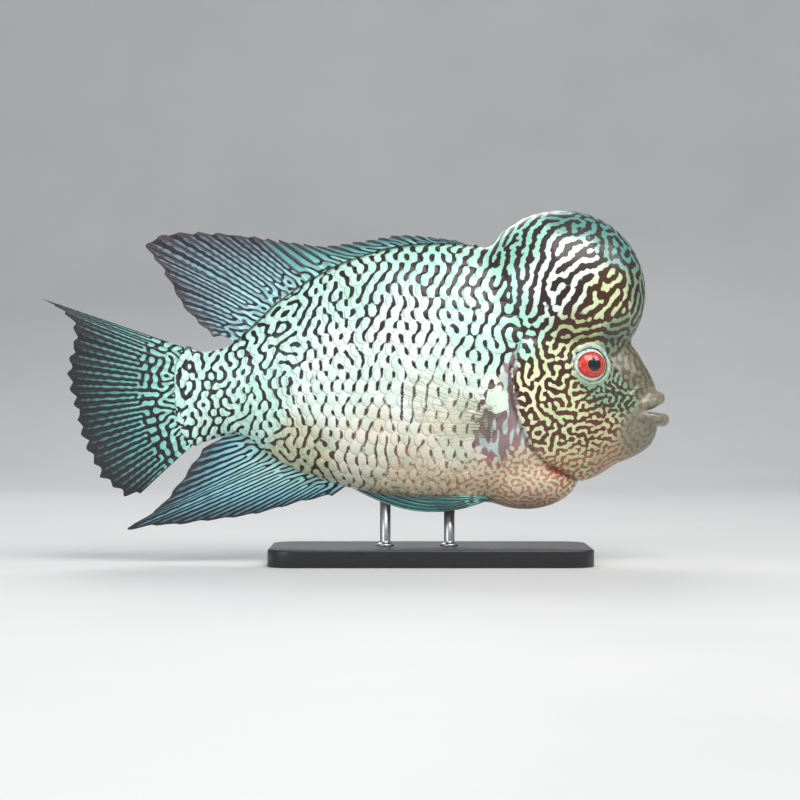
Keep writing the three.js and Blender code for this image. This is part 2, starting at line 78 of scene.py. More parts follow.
# %% Stations along the fish
# Distance along the fish, back, belly, half the width, height of the widest level
STATIONS = np.array([
    [-119.5, 93.0, 65.0, 1.5, 79],
    [-116.5, 98.5, 58.5, 2.4, 79],
    [-113.0, 100.6, 55.6, 3.4, 79],
    [-104.6, 99.5, 57.0, 5.8, 79],
    [-91.5, 103.2, 60.0, 8.8, 80],
    [-82.5, 111.0, 57.6, 10.8, 82],
    [-72.2, 121.0, 49.4, 13.2, 84],
    [-56.3, 132.3, 41.8, 17.0, 87],
    [-39.0, 141.0, 36.4, 20.4, 88],
    [-22.5, 146.3, 31.0, 23.2, 88],
    [-5.0, 149.1, 27.4, 25.2, 87],
    [12.0, 149.3, 26.8, 26.3, 86],
    [28.0, 147.3, 28.7, 26.6, 84],
    [42.0, 141.5, 32.0, 26.2, 83],
    [61.0, 130.0, 36.8, 24.8, 82],
    [75.0, 119.0, 40.0, 21.6, 81],
    [87.0, 108.5, 46.2, 17.2, 79],
    [95.2, 101.4, 49.6, 13.9, 76],
    [100.8, 92.6, 53.0, 11.4, 74],
    [104.5, 86.0, 56.6, 9.2, 72],
    [107.0, 81.0, 61.5, 6.8, 71.5],
])
BACK_TAPER = 0.16
SNOUT_ROUND, STEM_ROUND = 5, 1
SNOUT_X, STEM_END_X = STATIONS[-1, 0], STATIONS[0, 0]
SLOPES = np.gradient(STATIONS, axis=0) / np.gradient(STATIONS[:, 0])[:, None]
SLOPES[1:-1] = (STATIONS[2:] - STATIONS[:-2]) / (STATIONS[2:, :1] - STATIONS[:-2, :1])


def body_at(x):
    """Back, belly, half width and widest level at distances x along the fish."""
    x = np.clip(x, STEM_END_X, SNOUT_X)
    i = np.clip(np.searchsorted(STATIONS[:, 0], x, side="right") - 1, 0, len(STATIONS) - 2)
    width = STATIONS[i + 1, 0] - STATIONS[i, 0]
    t = ((x - STATIONS[i, 0]) / width)[:, None]
    rise = STATIONS[i + 1] - STATIONS[i]
    lean = t * (1 - t) ** 2 * SLOPES[i] - t**2 * (1 - t) * SLOPES[i + 1]
    value = STATIONS[i] + t * t * (3 - 2 * t) * rise + lean * width[:, None]
    return value[:, 1], value[:, 2], value[:, 3], value[:, 4]


print("stations:", len(STATIONS))

# %% [markdown]
# ## Distance to the flesh
# Flesh has no seams where the hump meets the nape or a fin grows from the back. Solids joined
# by a Boolean would leave sharp edges there. A surface can also be described by a distance,
# negative inside and positive outside: two distances join with a soft crease when the smaller
# is taken with a rounded corner, and hollows are taken away in the same way. The mesh is then
# drawn where the distance is zero.

# %% Soft joins and simple forms
def soft_union(a, b, blend):
    near = np.maximum(blend - np.abs(a - b), 0) / blend
    return np.minimum(a, b) - near**2 * blend / 4


def soft_cut(a, b, blend):
    """The form a with the form b taken away."""
    return -soft_union(-a, b, blend)


def ridge(value, centre, width):
    """1 at the centre, falling away softly on both sides."""
    return np.exp(-(((value - centre) / width) ** 2))


def trunk_distance(p):
    back, belly, width, widest = body_at(p[:, 0])
    above = p[:, 2] > widest
    height = np.where(above, back - widest, widest - belly)
    u = (p[:, 2] - widest) / height
    side = width * (1 - BACK_TAPER * np.clip(u, 0, 1) ** 2)
    v = p[:, 1] / side
    q = np.sqrt(u**2 + v**2) + 1e-6
    slope = np.sqrt((v / side) ** 2 + (u / height) ** 2) / q
    section = np.clip((q - 1) / slope, -30, 30)
    section = -soft_union(-section, SNOUT_X - p[:, 0], SNOUT_ROUND)
    return -soft_union(-section, p[:, 0] - STEM_END_X, STEM_ROUND)


def oval_distance(p, centre, radii):
    q = (p - centre) / radii
    size = np.linalg.norm(q, axis=1) + 1e-6
    slope = np.linalg.norm(q / radii, axis=1) / size
    return (size - 1) / (slope + 1e-6)


HUMP = {"centre": (62.4, 0, 126.6), "radii": (38.9, 27.5, 38.9), "bulge": 0.05,
        "bulge_way": (-0.8, 0.6)}


def hump_distance(p):
    """An oval that swells a little towards the nape."""
    radii = np.array(HUMP["radii"])
    q = (p - HUMP["centre"]) / radii
    size = np.linalg.norm(q, axis=1) + 1e-6
    lean = np.clip(q[:, [0, 2]] @ np.array(HUMP["bulge_way"]) / size, 0, None)
    grown = size / (1 + HUMP["bulge"] * lean**6)
    slope = np.linalg.norm(q / radii, axis=1) / size
    return (grown - 1) / (slope + 1e-6)


def path_distance(p, path, radii):
    """Distance to a tube of changing radius along a row of points."""
    best = np.full(len(p), 1e3)
    for a, b, ra, rb in zip(path[:-1], path[1:], radii[:-1], radii[1:]):
        along = b - a
        t = np.clip((p - a) @ along / (along @ along), 0, 1)
        away = np.linalg.norm(p - a - t[:, None] * along, axis=1)
        best = np.minimum(best, away - (ra + (rb - ra) * t))
    return best


print("hump radius:", HUMP["radii"][0], "mm")

# %% [markdown]
# ## Curves shared with the fins and the gill covers
# A fin grows from a root curve to a free margin, and a gill cover has a groove in front and a
# free rim behind. They could be traced on the mesh later. Named curves of the side view are
# easier to read and to change, and both the skin and the fins can follow them.

# %% Curves
def spline(points, count=200):
    """A smooth curve through points, spaced evenly along its length."""
    points = np.asarray(points, float)
    padded = np.vstack([2 * points[0] - points[1], points, 2 * points[-1] - points[-2]])
    out = []
    for i in range(1, len(padded) - 2):
        p0, p1, p2, p3 = padded[i - 1 : i + 3]
        d = [max(np.linalg.norm(b - a), 1e-6) ** 0.5 for a, b in ((p0, p1), (p1, p2), (p2, p3))]
        m1 = ((p1 - p0) / d[0] - (p2 - p0) / (d[0] + d[1]) + (p2 - p1) / d[1]) * d[1]
        m2 = ((p2 - p1) / d[1] - (p3 - p1) / (d[1] + d[2]) + (p3 - p2) / d[2]) * d[1]
        t = np.linspace(0, 1, 24, endpoint=False)[:, None]
        h = 2 * t**3 - 3 * t**2
        out.append((h + 1) * p1 - h * p2 + (t**3 - 2 * t**2 + t) * m1 + (t**3 - t**2) * m2)
    out = np.vstack(out + [points[-1:]])
    length = np.r_[0, np.cumsum(np.linalg.norm(np.diff(out, axis=0), axis=1))]
    share = np.linspace(0, length[-1], count)
    return np.stack([np.interp(share, length, out[:, k]) for k in range(out.shape[1])], 1)


def in_plane(points):
    """Points of the side view, set in the fish's middle plane."""
    return [(x, 0.0, z) for x, z in points]


FINS = {
    "dorsal_fin_spiny": {
        "root": in_plane([(20.6, 148.2), (-5.2, 148.4), (-22.5, 145.6), (-42.7, 138.4),
                          (-56.7, 131.0)]),
        "margin": in_plane([(12.0, 151.2), (-11.3, 153.6), (-22.5, 152.4), (-39.4, 149.6),
                            (-50.7, 148.4), (-63.3, 150.1), (-81.4, 152.4)]),
        "rays": 17, "rows": 34, "sink": 2.5, "ray_half": (0.85, 0.3), "bow": lambda s: (0, 0, 0),
    },
    "dorsal_fin_soft": {
        "root": in_plane([(-56.3, 131.1), (-72.2, 120.2), (-82.5, 110.6), (-91.0, 102.4)]),
        "margin": in_plane([(-81.2, 152.4), (-98.5, 154.3), (-114.9, 154.8), (-128.0, 152.4),
                            (-133.2, 148.7), (-126.6, 140.2), (-121.9, 132.7),
                            (-117.2, 123.3), (-109.7, 114.0), (-101.3, 106.0)]),
        "rays": 13, "rows": 70, "sink": 3, "ray_half": (0.7, 0.25),
        "bow": lambda s: (0, 1.5 * s, 2 * s),
    },
    "caudal_fin": {
        "root": in_plane([(-113.4, 100.4), (-117.4, 92.4), (-118.4, 84.8), (-118.2, 76.9),
                          (-116.3, 68.9), (-113.4, 61.9), (-109.8, 56.6)]),
        "margin": in_plane([(-181.5, 123.8), (-169.8, 116.3), (-166.0, 109.3), (-168.4, 95.2),
                            (-167.0, 77.4), (-162.3, 59.1), (-153.8, 42.2), (-143.0, 32.4),
                            (-135.1, 33.3)]),
        "rays": 17, "rows": 80, "sink": 3, "ray_half": (0.8, 0.25),
        "bow": lambda s: (0, 2.5 * math.cos(math.pi * s), 0),
    },
    "anal_fin": {
        "root": in_plane([(-37.5, 37.4), (-54.4, 42.5), (-64.3, 46.0), (-74.6, 51.6),
                          (-81.1, 58.2), (-85.4, 62.0)]),
        "margin": in_plane([(-44.6, 32.4), (-59.1, 29.1), (-75.0, 24.9), (-85.8, 22.5),
                            (-103.2, 20.2), (-118.2, 18.3), (-131.3, 17.4), (-143.0, 15.5),
                            (-129.0, 24.4), (-118.2, 36.6), (-107.4, 51.6), (-99.9, 57.7),
                            (-94.7, 59.6)]),
        "rays": 15, "rows": 80, "sink": 3, "ray_half": (0.75, 0.25),
        "bow": lambda s: (0, -1.5 * s, -1.5 * s * (1 - s)),
    },
    "pectoral_fin": {
        "root": [(28.5, 27.4, 72.6), (28.2, 26.2, 66.0), (27.2, 24.0, 59.6)],
        "margin": [(-2.0, 44.0, 89.6), (-9.4, 46.5, 85.8), (-12.2, 47.0, 79.2),
                   (-10.3, 46.0, 71.8), (-2.3, 42.0, 63.3), (9.7, 34.0, 56.7)],
        "rays": 13, "rows": 50, "sink": 3.4, "ray_half": (0.55, 0.2),
        "bow": lambda s: (-1, 2.4, 0),
    },
    "pelvic_fin": {
        "root": [(26.0, 8.4, 29.6), (24.0, 9.2, 30.6), (22.0, 10.0, 31.8)],
        "margin": [(-35.5, 9.0, 35.2), (-24.0, 11.5, 33.4), (-12.0, 13.0, 32.0),
                   (0.0, 13.6, 31.6)],
        "rays": 6, "rows": 60, "sink": 3.5, "ray_half": (0.75, 0.25),
        "bow": lambda s: (0, -0.4 * (1 - s), -7.6 * (1 - s)),
    },
}
PAIRED_FINS = ("pectoral_fin", "pelvic_fin")
MIDDLE_FINS = [name for name in FINS if name not in PAIRED_FINS]
GILL_EDGE = spline([(22.0, 158.0), (26.9, 147.6), (32.8, 138.4), (38.9, 123.3), (43.1, 109.3),
                    (40.3, 97.6), (37.1, 87.7), (38.5, 76.4), (41.7, 64.7), (46.9, 54.4),
                    (54.4, 47.4), (61.9, 43.1), (68.9, 39.2), (80.0, 33.5)], 90)
COVER_FRONT = spline([(45.5, 105.5), (53.5, 99.0), (56.0, 88.0), (56.5, 75.0), (59.5, 61.0),
                      (66.0, 45.5)], 50)
THROAT_FOLD = spline([(54.4, 47.4), (62.0, 45.5), (72.0, 45.0), (84.0, 48.5), (92.0, 53.5)], 40)
MAXILLA = spline([(103.5, 84.5), (97.0, 83.0), (91.5, 78.5), (90.2, 73.0), (92.5, 68.5)], 30)
BROW_CREASE = spline([(50.0, 104.8), (62.0, 104.0), (75.0, 104.8), (86.0, 104.2),
                      (95.2, 101.8), (99.0, 98.0)], 40)
print("fins:", ", ".join(FINS))

# %% [markdown]
# ## The whole flesh as one distance
# The fish's head is all soft joins: full lips, a breast that bulges under the throat, a fleshy
# pad at each pectoral fin, and a sheath of skin at the foot of every fin. Each is an oval or a
# tube that melts into the trunk. The mouth, the eye sockets and the nostrils are taken away.
# The skin lies a little under the model's solids, because the scales come on top of it.

# %% Flesh
SKIN_DEPTH = 0.35
BREAST = ((44.6, 0, 41.3), (25.3, 17, 16.4))
FIN_PAD = ((30, 24.2, 73), (6.2, 4.2, 10.5))
EYE = {"x": 73.9, "z": 92.5, "radius": 8.4, "depth": 5.8, "stand": 2.9, "yaw": 20, "pitch": 6,
       "rim": 9.0, "socket": (8.6, 6.0, 8.6)}
NOSTRIL = {"x": 85.4, "z": 89.1}
LIPS = {
    "upper": {"reach": 12.2, "corner": 72.9, "front": 77.2},
    "lower": {"reach": 14.3, "corner": 69.6, "front": 67.1},
}
MOUTH = {
    "low": ([93, 101.8, 112, 118], [71.1, 71.1, 70.1, 69.0]),
    "high": ([93, 101.8, 111, 118], [71.5, 71.6, 74.6, 77.0]),
    "corner": 100.5, "half_width": 10.5, "hollow": ((104.5, 0, 72), (5.5, 7.4, 2.3)),
}


def flank_y(x, z):
    """Half the body's width at a point of the side view."""
    back, belly, width, widest = (v[0] for v in body_at(np.array([float(x)])))
    u = (z - widest) / (back - widest if z > widest else widest - belly)
    return width * math.sqrt(max(0, 1 - u * u)) * (1 - BACK_TAPER * max(0, u) ** 2)


def lip_path(lip):
    """A bow round the jaw, fullest in front, and its radius on the way."""
    turn = np.radians(np.linspace(98, -98, 33))
    front = np.clip(np.cos(turn), 0, None)
    z = lip["corner"] + (lip["front"] - lip["corner"]) * front
    path = np.stack([94.7 + lip["reach"] * np.cos(turn), 11.6 * np.sin(turn), z], 1)
    return path, 1.8 + 1.6 * front**0.7


def eye_place(side):
    """Where an eye stands and how it is turned, a little forward and down."""
    place = Matrix.Translation((EYE["x"], side * flank_y(EYE["x"], EYE["z"]), EYE["z"]))
    place @= Matrix.Rotation(math.radians(-side * EYE["yaw"]), 4, "Z")
    return place @ Matrix.Rotation(math.radians(side * EYE["pitch"]), 4, "X")


def to_eye(p, side):
    """Points seen from the eye: its own outward direction becomes Y."""
    turn = np.array(eye_place(side).inverted())
    q = p @ turn[:3, :3].T + turn[:3, 3]
    q[:, 1] *= side
    return q


def with_mouth(p, d):
    """Lips laid round the jaws, and the gap and the hollow cut between them."""
    for lip in LIPS.values():
        d = soft_union(d, path_distance(p, *lip_path(lip)), 1.6)
    low, high = (np.interp(p[:, 0], *MOUTH[edge]) for edge in ("low", "high"))
    gape = np.abs(p[:, 2] - (low + high) / 2) - (high - low) / 2
    gape = np.maximum(gape, MOUTH["corner"] - p[:, 0])
    gape = np.maximum(gape, np.abs(p[:, 1]) - MOUTH["half_width"])
    return soft_cut(d, np.minimum(gape, oval_distance(p, *MOUTH["hollow"])), 1.0)


def with_eye(p, d):
    """A raised rim, a socket for the eyeball, and the nostril in front of them."""
    e = to_eye(p, 1)
    rim = np.hypot(np.hypot(e[:, 0], e[:, 2]) - EYE["rim"], e[:, 1] + 0.3) - 1.0
    socket = oval_distance(e, (0, EYE["stand"] - EYE["depth"], 0), EYE["socket"])
    d = soft_cut(soft_union(d, rim, 2.4), socket, 0.7)
    away = np.hypot(p[:, 0] - NOSTRIL["x"], p[:, 2] - NOSTRIL["z"])
    return d - 0.35 * ridge(away, 1.6, 0.6) + 0.9 * ridge(away, 0, 0.9)


def fold_right(p):
    """Points with those of the right side mirrored to the left."""
    return np.where(p[:, 1:2] < 0, p * [1, -1, 1], p)


def flesh_distance(p):
    d = soft_union(trunk_distance(p), hump_distance(p), 4.5)
    d = soft_union(d, oval_distance(p, *BREAST), 3)
    folded = fold_right(p)
    d = soft_union(d, oval_distance(folded, *FIN_PAD), 3)
    middle = np.abs(p[:, 1]) < 9
    for name in MIDDLE_FINS:
        sheath = path_distance(p[middle], spline(FINS[name]["root"], 14), np.full(14, 1.3))
        d[middle] = soft_union(d[middle], sheath, 3.2)
    front = p[:, 0] > 80
    d[front] = with_mouth(p[front], d[front])
    beside = (p[:, 0] > 55) & (p[:, 0] < 95) & (p[:, 2] > 74) & (p[:, 2] < 112)
    d[beside] = with_eye(folded[beside], d[beside])
    return d + SKIN_DEPTH


print("eye stands", round(flank_y(EYE["x"], EYE["z"]), 1), "mm from the middle plane")

# %% [markdown]
# ## From distance to mesh
# Metaballs and volume nodes can turn such a form into a mesh too, but they leave steps and
# can't be steered. Here the distance is measured on a grid of small boxes. Every box that the
# surface passes through gets one vertex, and every grid edge that it crosses gets one
# four-sided face between the boxes around that edge. A few steps along the slope of the
# distance then bring each vertex onto the surface.

# %% Surface from a distance
def draw_surface(distance, low, high, cell):
    """Vertices and four-sided faces where a distance is zero."""
    axes = [np.arange(a, b + cell, cell) for a, b in zip(low, high)]
    shape = tuple(len(a) for a in axes)
    value = np.empty(shape)
    for i, x in enumerate(axes[0]):
        y, z = np.meshgrid(axes[1], axes[2], indexing="ij")
        layer = np.stack([np.full(y.size, x), y.ravel(), z.ravel()], 1)
        value[i] = distance(layer).reshape(y.shape)
    inside = value < 0
    count = np.zeros([n - 1 for n in shape], int)
    total = np.zeros([n - 1 for n in shape] + [3])
    corner = [np.s_[:-1], np.s_[1:]]
    for axis in range(3):
        others = [k for k in range(3) if k != axis]
        for a in (0, 1):
            for b in (0, 1):
                pick = [None] * 3
                pick[others[0]], pick[others[1]] = corner[a], corner[b]
                first, second = list(pick), list(pick)
                first[axis], second[axis] = corner[0], corner[1]
                v0, v1 = value[tuple(first)], value[tuple(second)]
                crossed = (v0 < 0) != (v1 < 0)
                t = np.where(crossed, v0 / np.where(crossed, v0 - v1, 1), 0)
                count += crossed
                total[..., axis] += np.where(crossed, t, 0)
                total[..., others[0]] += crossed * a
                total[..., others[1]] += crossed * b
    boxes = np.argwhere(count > 0)
    number = np.full(count.shape, -1)
    number[tuple(boxes.T)] = np.arange(len(boxes))
    points = np.array(low) + (boxes + total[tuple(boxes.T)] / count[tuple(boxes.T)][:, None]) * cell
    faces = []
    for axis in range(3):
        u, v = [(1, 2), (2, 0), (0, 1)][axis]
        first = [np.s_[:]] * 3
        second = [np.s_[:]] * 3
        first[axis], second[axis] = corner[0], corner[1]
        a, b = inside[tuple(first)], inside[tuple(second)]
        edges = np.argwhere(a != b)
        edges = edges[(edges[:, u] > 0) & (edges[:, v] > 0)]
        step_u, step_v = np.eye(3, dtype=int)[u], np.eye(3, dtype=int)[v]
        ring = [edges, edges - step_u, edges - step_u - step_v, edges - step_v]
        quad = np.stack([number[tuple(r.T)] for r in ring], 1)
        turned = ~a[tuple(edges.T)]
        quad[turned] = quad[turned][:, ::-1]
        faces.append(quad)
    return points, np.vstack(faces)


def settle(points, distance, steps=4):
    """Moves points along the slope of a distance until they lie on its surface."""
    for _ in range(steps):
        points = points - step_and_slope(points, distance)[0]
    return points


def step_and_slope(points, distance, h=0.04):
    """The move that takes each point towards the surface, and the slope it follows."""
    value = distance(points)
    slope = np.stack([distance(points + h * e) - value for e in np.eye(3)], 1) / h
    size = (slope**2).sum(1)
    return np.clip(slope * (value / np.maximum(size, 0.05))[:, None], -1.5, 1.5), slope


SKIN_CELL = 1.44
SKIN_LOW, SKIN_HIGH = (-124, -33, 18), (116, 33, 170)
skin_points, skin_quads = draw_surface(flesh_distance, SKIN_LOW, SKIN_HIGH, SKIN_CELL)
skin_points = settle(skin_points, flesh_distance, 3)
print("skin drawn:", len(skin_points), "vertices,", len(skin_quads), "faces")

# %% [markdown]
# The head, the hump and the roots of the fins show bare skin, while the trunk lies under its
# scales. Faces of the bare parts are therefore split in four, and their neighbours take the
# new corners in, so that the mesh stays closed.

# %% Finer faces where the skin is bare
def split_faces(points, quads, chosen):
    """Splits the chosen faces in four. Faces beside them take in the new corners."""
    edges = np.stack([quads, np.roll(quads, -1, axis=1)], 2)
    keys = np.sort(edges, axis=2)
    keys = keys[..., 0] * len(points) + keys[..., 1]
    wanted = np.unique(keys[chosen])
    number = np.searchsorted(wanted, keys)
    number[number == len(wanted)] = 0
    split = wanted[number] == keys
    ends = np.stack([wanted // len(points), wanted % len(points)], 1)
    middles = points[ends].mean(1)
    centres = points[quads[chosen]].mean(1)
    middle = number + len(points)
    centre = len(points) + len(wanted) + np.arange(len(centres))
    q, m = quads[chosen], middle[chosen]
    small = [np.stack([q[:, k], m[:, k], centre, m[:, k - 1]], 1) for k in range(4)]
    faces = []
    for corners, mids, cuts in zip(quads[~chosen], middle[~chosen], split[~chosen]):
        face = []
        for corner, mid, cut in zip(corners, mids, cuts):
            face += [corner, mid] if cut else [corner]
        faces.append(face)
    return np.vstack([points, middles, centres]), np.vstack(small), faces


def bare_faces(points, quads):
    """The faces of the head and the breast, and those along the back, the keel and the tail."""
    middle = points[quads].mean(1)
    ahead = np.interp(middle[:, 2], [30, 46, 52, 60, 75, 88, 98, 110, 124, 140, 150],
                      [18, 20, 30, 27, 25, 25, 30, 38, 34, 25, 22])
    back, belly, _, _ = body_at(middle[:, 0])
    ridge_near = (np.abs(middle[:, 2] - back) < 3.2) & (middle[:, 0] < 24)
    keel_near = (np.abs(middle[:, 2] - belly) < 3.2) & (middle[:, 0] < -34)
    tail_near = middle[:, 0] < -112
    return (middle[:, 0] > ahead) | ridge_near | keel_near | tail_near


bare = bare_faces(skin_points, skin_quads)
skin_points, small_quads, other_faces = split_faces(skin_points, skin_quads, bare)
skin_faces = small_quads.tolist() + other_faces
print("faces after splitting:", len(skin_faces))

# %% [markdown]
# ## Folds of the face and the gill covers
# The gill cover ends in a free rim that stands a little above the flank behind it. The cheek
# has a soft groove, the upper lip a fold, and the throat a fold along its skin. They could be
# bump in the material, but real relief catches the light at the rim and shows in the outline.
# Each is a rise or a dip that follows a curve of the side view and fades towards its ends.

# %% Folds
def ease(low, high, value):
    """0 at low and 1 at high, smooth between them. High may be the smaller one."""
    t = np.clip((value - low) / (high - low), 0, 1)
    return t * t * (3 - 2 * t)


def side_gap(p, curve):
    """Distance from a curve of the side view, positive on its left hand, and the share
    of the curve at which the point lies."""
    gap, share = np.empty(len(p)), np.empty(len(p))
    tangent = np.gradient(curve, axis=0)
    tangent /= np.linalg.norm(tangent, axis=1)[:, None]
    for i in range(0, len(p), 20000):
        q = p[i : i + 20000][:, [0, 2]]
        away = ((q[:, None] - curve[None]) ** 2).sum(2)
        k = away.argmin(1)
        delta = q - curve[k]
        cross = -tangent[k, 1] * delta[:, 0] + tangent[k, 0] * delta[:, 1]
        gap[i : i + 20000] = np.sign(cross) * np.sqrt((delta**2).sum(1))
        share[i : i + 20000] = k / (len(curve) - 1)
    return gap, share


def ends_fade(share, part=0.2):
    return ease(0, part, share) * ease(0, part, 1 - share)


def groove(p, curve, depth, width):
    gap, share = side_gap(p, curve)
    return -depth * ridge(gap, 0, width) * ends_fade(share)


def folds(p):
    """How far the skin rises at each point."""
    gap, _ = side_gap(p, GILL_EDGE)
    cover = ease(106, 101, p[:, 2]) * ease(34, 40, p[:, 2])
    rise = 0.8 * ease(0, 1.3, gap) * (1 - 0.75 * ease(6, 17, gap)) * cover
    rise -= 0.6 * ridge(gap, -0.9, 0.8) * cover
    rise += groove(p, COVER_FRONT, 0.4, 1.0)
    gap, share = side_gap(p, MAXILLA)
    rise += (0.55 * ridge(gap, 1.0, 1.2) - 0.4 * ridge(gap, -0.6, 0.7)) * ends_fade(share, 0.3)
    rise += groove(p, THROAT_FOLD, 0.45, 0.8)
    return rise + groove(p, BROW_CREASE, 0.35, 1.3)


skin_points = settle(skin_points, flesh_distance, 2)
outward = step_and_slope(skin_points, flesh_distance)[1]
outward /= np.linalg.norm(outward, axis=1)[:, None]
skin_rise = folds(skin_points)
skin_points = skin_points + outward * skin_rise[:, None]
print("skin settled, furthest front", round(float(skin_points[:, 0].max()), 1), "mm")

# %% [markdown]
# ## A map of the flank
# The scales of the trunk stand in rows along the fish, closer together near the tail. Rows
# could be cast onto the skin from the side, but they would stretch where the body curves away.
# This map unrolls the trunk instead: one way is the distance along the fish, the other is the
# distance round the body from its widest level. Scales and markings are both laid out on it.

# %% Flank map
SCALE_PITCH, ROW_PITCH = 5.5, 5.9


def crowding(x):
    """How much closer together the rows run towards the tail."""
    return 1 + 0.34 * ease(-20, -100, x)


COLUMN_X = np.arange(-130, 66, 0.5)
COLUMN_AT = np.cumsum(0.5 * crowding(COLUMN_X)) / SCALE_PITCH
COLUMN_AT -= np.interp(0, COLUMN_X, COLUMN_AT)


def arc_table(x, steps=48):
    """Lengths round the section from the belly to the back, measured from the widest level."""
    back, belly, width, widest = body_at(x)
    turn = np.linspace(-math.pi / 2, math.pi / 2, 2 * steps + 1)[None]
    up = np.maximum(np.sin(turn), 0)
    y = width[:, None] * np.cos(turn) * (1 - BACK_TAPER * up**2)
    height = np.where(turn > 0, (back - widest)[:, None], (widest - belly)[:, None])
    z = widest[:, None] + height * np.sin(turn)
    arc = np.cumsum(np.hypot(np.diff(y, axis=1), np.diff(z, axis=1)), axis=1)
    arc = np.hstack([np.zeros((len(x), 1)), arc])
    return arc - arc[:, steps : steps + 1], y, z


MAP_X = np.arange(-126, 64.01, 1.0)
MAP_ARC, MAP_Y, MAP_Z = arc_table(MAP_X)


def flank_place(x, row):
    """The point of the right-hand law at a distance along the fish and a row height."""
    arc = row / crowding(x)
    i = np.clip((x - MAP_X[0]).astype(int), 0, len(MAP_X) - 2)
    t = (x - MAP_X[i])[:, None]
    table = [a[i] * (1 - t) + a[i + 1] * t for a in (MAP_ARC, MAP_Y, MAP_Z)]
    y = np.array([np.interp(a, t0, t1) for a, t0, t1 in zip(arc, table[0], table[1])])
    z = np.array([np.interp(a, t0, t1) for a, t0, t1 in zip(arc, table[0], table[2])])
    return np.stack([x, y, z], 1), table[0][:, 0], table[0][:, -1]


def flank_row(p):
    """The row height at points near the flank: the map's second coordinate."""
    back, belly, width, widest = body_at(p[:, 0])
    height = np.where(p[:, 2] > widest, back - widest, widest - belly)
    u = (p[:, 2] - widest) / height
    v = np.abs(p[:, 1]) / (width * (1 - BACK_TAPER * np.clip(u, 0, 1) ** 2))
    turn = np.arctan2(u, v)
    i = np.clip((p[:, 0] - MAP_X[0]).astype(int), 0, len(MAP_X) - 2)
    t = np.clip(p[:, 0] - MAP_X[i], 0, 1)
    place = (turn + math.pi / 2) / math.pi * (MAP_ARC.shape[1] - 1)
    j = np.clip(place.astype(int), 0, MAP_ARC.shape[1] - 2)
    s = place - j
    near = MAP_ARC[i, j] * (1 - s) + MAP_ARC[i, j + 1] * s
    far = MAP_ARC[i + 1, j] * (1 - s) + MAP_ARC[i + 1, j + 1] * s
    return (near * (1 - t) + far * t) * crowding(p[:, 0])


print("flank map:", MAP_ARC.shape)

# %% [markdown]
# ## Colours by region
# The skin goes from mint and white on the trunk to wine and lemon on the cheek and to plain
# khaki on the snout. Painting that by hand would need an image. Instead each line below is a
# place on the fish's side with the look of the skin there: the pale ground, the dark ink, how
# much of the skin the ink covers, how far apart its lines lie, and whether the scales' middles
# are dark or bright. The looks melt into each other with distance.

# %% Regions
GROUNDS = {
    "mint": (184, 238, 218), "pale mint": (206, 243, 230), "milk": (240, 250, 244),
    "cream": (244, 238, 222), "sand": (226, 210, 182), "straw": (206, 200, 152),
    "lemon": (236, 238, 192), "leaf": (214, 228, 174), "bone": (214, 214, 182),
    "jade": (150, 216, 194), "sea": (134, 172, 142), "teal": (88, 145, 137),
    "moss": (114, 144, 116), "olive": (186, 196, 138), "dun": (172, 158, 128),
    "khaki": (132, 130, 110), "stone": (109, 105, 82),
}
INKS = {
    "wine": (57, 26, 23), "plum": (60, 33, 28), "bark": (38, 26, 22), "soot": (26, 25, 27),
    "night": (18, 23, 28), "smoke": (52, 43, 37), "rust": (82, 37, 27), "amber": (86, 45, 19),
    "brick": (108, 56, 42), "earth": (84, 60, 42), "tan": (112, 86, 66), "rose": (160, 104, 80),
    "clay": (174, 132, 107), "blush": (192, 141, 117), "mud": (92, 82, 61), "drab": (120, 106, 88),
}
